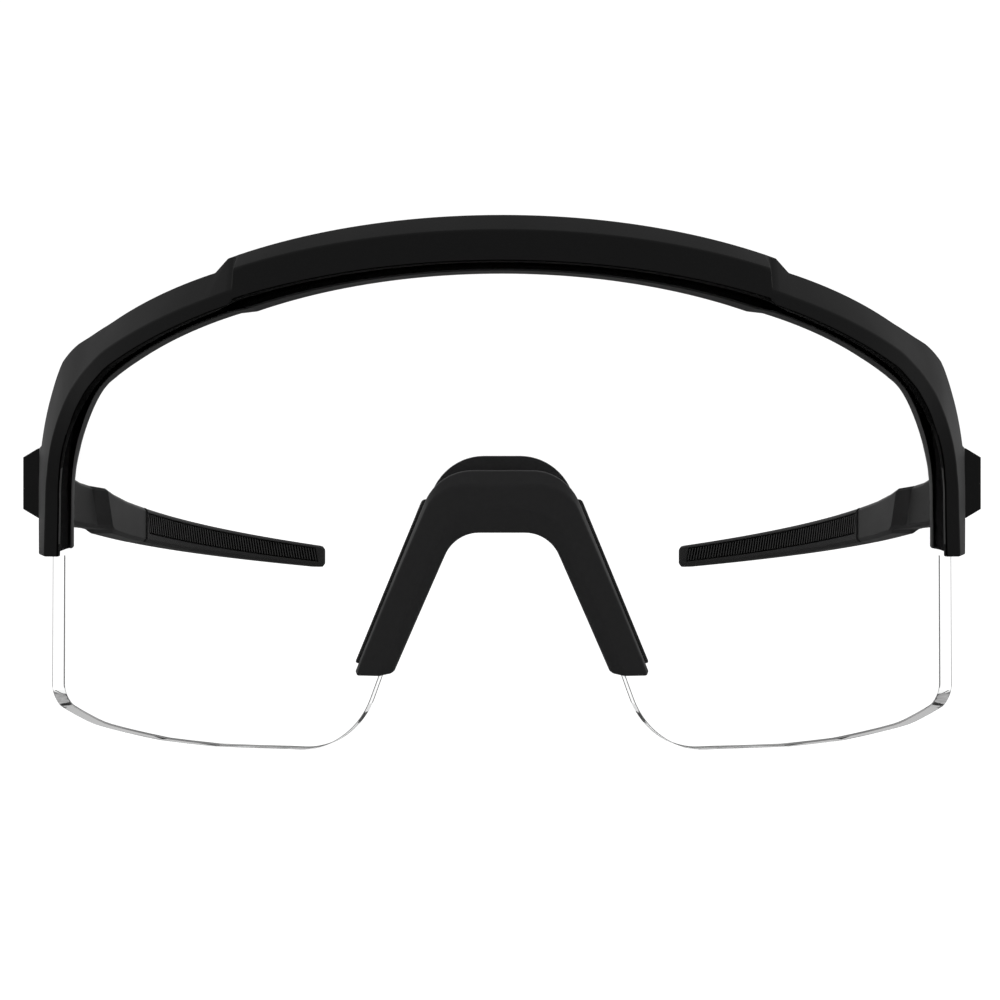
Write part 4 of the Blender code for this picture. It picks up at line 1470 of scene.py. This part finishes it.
                    # The rib tops get a painted highlight: a lighter, glossier rubber than the rest of the
                    # grip.
                    RIB_CREST_HIGHLIGHT.add_to(grip, [self.gets_painted_rib_highlight(grip, face) for face in grip.data.polygons])
            for piece, side in ((left, Side.LEFT), (right, Side.RIGHT)):
                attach(piece, f"{side.label}_temple")
                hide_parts(f"{node}_{side.label}")
                finished.append(piece)
        return finished


# ------------------------------------------------------------------------------------------ small parts


@dataclass
class HingeHardware:
    """Screws, inserts, washers and wire cores, whose CAD solids are shown with their real finishes."""

    finishes: dict[str, Finish] = field(
        default_factory=lambda: {
            "hinge_screw": SCREW_STEEL,
            "hinge_insert": INSERT_BRASS,
            "hinge_washer_lower": WASHER_NYLON,
            "hinge_washer_upper": WASHER_NYLON,
            "temple_core": SCREW_STEEL,
        }
    )

    def build(self) -> list[bpy.types.Object]:
        """Dresses the CAD solids on both sides.

        Returns:
            The dressed solids.
        """
        dressed = []
        for stem, finish in self.finishes.items():
            for side in Side:
                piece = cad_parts[f"{stem}_{side.label}"]
                finish.dress(piece)
                dressed.append(piece)
        return dressed


# ------------------------------------------------------------------------------------------ studio


@dataclass
class Studio:
    """A plain floor, a soft surround that is darkest behind the camera, and the camera.

    Floor and surround look white to the camera and through the lens, but light the glasses with less.
    """

    distance: float = 164.0
    focal: float = 50.0
    shift: float = -0.002
    floor_drop: float = 0.6
    white: float = 1.06

    def surround(self) -> None:
        """Sets soft light from every side, least from the front and most from behind, on white."""
        world = bpy.data.worlds.new("soft_surround")
        bpy.context.scene.world = world
        world.use_nodes = True
        tree = world.node_tree
        tree.nodes.clear()
        way = add_node(tree, "ShaderNodeTexCoord")
        parts = add_node(tree, "ShaderNodeSeparateXYZ", {"Vector": way.outputs["Generated"]})
        front = add_node(
            tree,
            "ShaderNodeMapRange",
            {"Value": parts.outputs["Y"], "From Min": -1.0, "From Max": 1.0, "To Min": 0.185, "To Max": 0.25},
        )
        behind = add_node(
            tree,
            "ShaderNodeMapRange",
            {"Value": parts.outputs["Y"], "From Min": 0.3, "From Max": 1.0, "To Min": 0.0, "To Max": 0.36},
        )
        round_about = add_node(
            tree, "ShaderNodeMath", {0: front.outputs["Result"], 1: behind.outputs["Result"]}, operation="ADD"
        )
        upper = add_node(
            tree,
            "ShaderNodeMapRange",
            {"Value": parts.outputs["Z"], "From Min": -0.4, "From Max": 0.9, "To Min": 0.85, "To Max": 1.0},
            interpolation_type="SMOOTHSTEP",
        )
        soft = add_node(
            tree,
            "ShaderNodeMath",
            {0: round_about.outputs["Value"], 1: upper.outputs["Result"]},
            operation="MULTIPLY",
        )
        seen = add_node(tree, "ShaderNodeLightPath")
        straight = add_node(
            tree,
            "ShaderNodeMath",
            {0: seen.outputs["Is Camera Ray"], 1: seen.outputs["Is Transmission Ray"]},
            operation="MAXIMUM",
        )
        white = add_node(
            tree, "ShaderNodeMath", {0: straight.outputs["Value"], 1: self.white}, operation="MULTIPLY"
        )
        level = add_node(
            tree, "ShaderNodeMath", {0: soft.outputs["Value"], 1: white.outputs["Value"]}, operation="MAXIMUM"
        )
        glow = add_node(
            tree, "ShaderNodeBackground", {"Color": linear("#ffffff"), "Strength": level.outputs["Value"]}
        )
        add_node(tree, "ShaderNodeOutputWorld", {"Surface": glow.outputs["Background"]})

    def floor(self) -> bpy.types.Object:
        """Lays a large paper floor, which the camera sees as white."""
        deselect_all()
        bpy.ops.mesh.primitive_circle_add(vertices=96, radius=3.0, fill_type="NGON")
        floor = bpy.context.object
        floor.location.z = -self.floor_drop * MM
        floor.name = floor.data.name = "studio_floor"
        paper = bpy.data.materials.new("white_studio_paper")
        paper.use_nodes = True
        tree = paper.node_tree
        tree.nodes.clear()
        place = add_node(tree, "ShaderNodeTexCoord")
        fibre = add_node(
            tree, "ShaderNodeTexNoise", {"Vector": place.outputs["Object"], "Scale": 900.0, "Detail": 3.0}
        )
        tone = add_node(
            tree,
            "ShaderNodeMix",
            {"Factor": fibre.outputs["Fac"], 6: linear("#cccccc"), 7: linear("#d4d4d4")},
            data_type="RGBA",
        )
        seen = add_node(tree, "ShaderNodeLightPath")
        shader = add_node(
            tree,
            "ShaderNodeBsdfPrincipled",
            {
                "Base Color": tone.outputs[2],
                "Roughness": 0.9,
                "Specular IOR Level": 0.1,
                "Emission Color": linear("#ffffff"),
                "Emission Strength": seen.outputs["Is Camera Ray"],
            },
        )
        add_node(tree, "ShaderNodeOutputMaterial", {"Surface": shader.outputs["BSDF"]})
        floor.data.materials.append(paper)
        return floor

    def lamp(self, name: str, place: Sequence[float], size: float, power: float) -> None:
        """Hangs one square softbox that faces the glasses.

        Args:
            name: the lamp's name.
            place: its place in metres.
            size: its side in metres.
            power: its power in watts.
        """
        data = bpy.data.lights.new(name, "AREA")
        data.shape, data.size, data.energy = "SQUARE", size, power
        lamp = bpy.data.objects.new(name, data)
        bpy.context.scene.collection.objects.link(lamp)
        lamp.location = place
        lamp.rotation_euler = (-Vector(place)).to_track_quat("-Z", "Y").to_euler()

    def camera(self) -> None:
        """Stands the camera level in front of the lens, at pupil height."""
        data = bpy.data.cameras.new("front_camera")
        data.sensor_width, data.lens = 36.0, self.focal
        data.shift_x = self.shift
        data.clip_start = 0.005
        camera = bpy.data.objects.new("front_camera", data)
        bpy.context.scene.collection.objects.link(camera)
        camera.location = placed(Vector((0.0, -self.distance, 0.0)))
        camera.rotation_euler = (math.pi / 2, 0.0, 0.0)
        bpy.context.scene.camera = camera

    def build(self) -> None:
        """Sets up surround, floor, softboxes and camera."""
        bpy.context.scene.view_settings.view_transform = "Standard"
        self.surround()
        self.floor()
        self.lamp("softbox_top", (0.0, 0.05, 0.6), 0.5, 0.1)
        self.camera()


def main() -> None:
    """Builds the glasses piece by piece, then the studio."""
    logging.basicConfig(level=logging.INFO, format="%(name)s: %(message)s")
    sheet, rim = Sheet(), Rim()
    brow = BrowFrame(sheet, rim)
    pieces = [brow.build(), ShieldLens(sheet, brow).build()]
    pieces += NoseBridge(sheet).build()
    pieces += Temple(brow).build()
    pieces += HingeHardware().build()
    for piece in pieces:
        log.info("%s: %d faces", piece.name, len(piece.data.polygons))
    Studio().build()


if __name__ == "__main__":
    main()
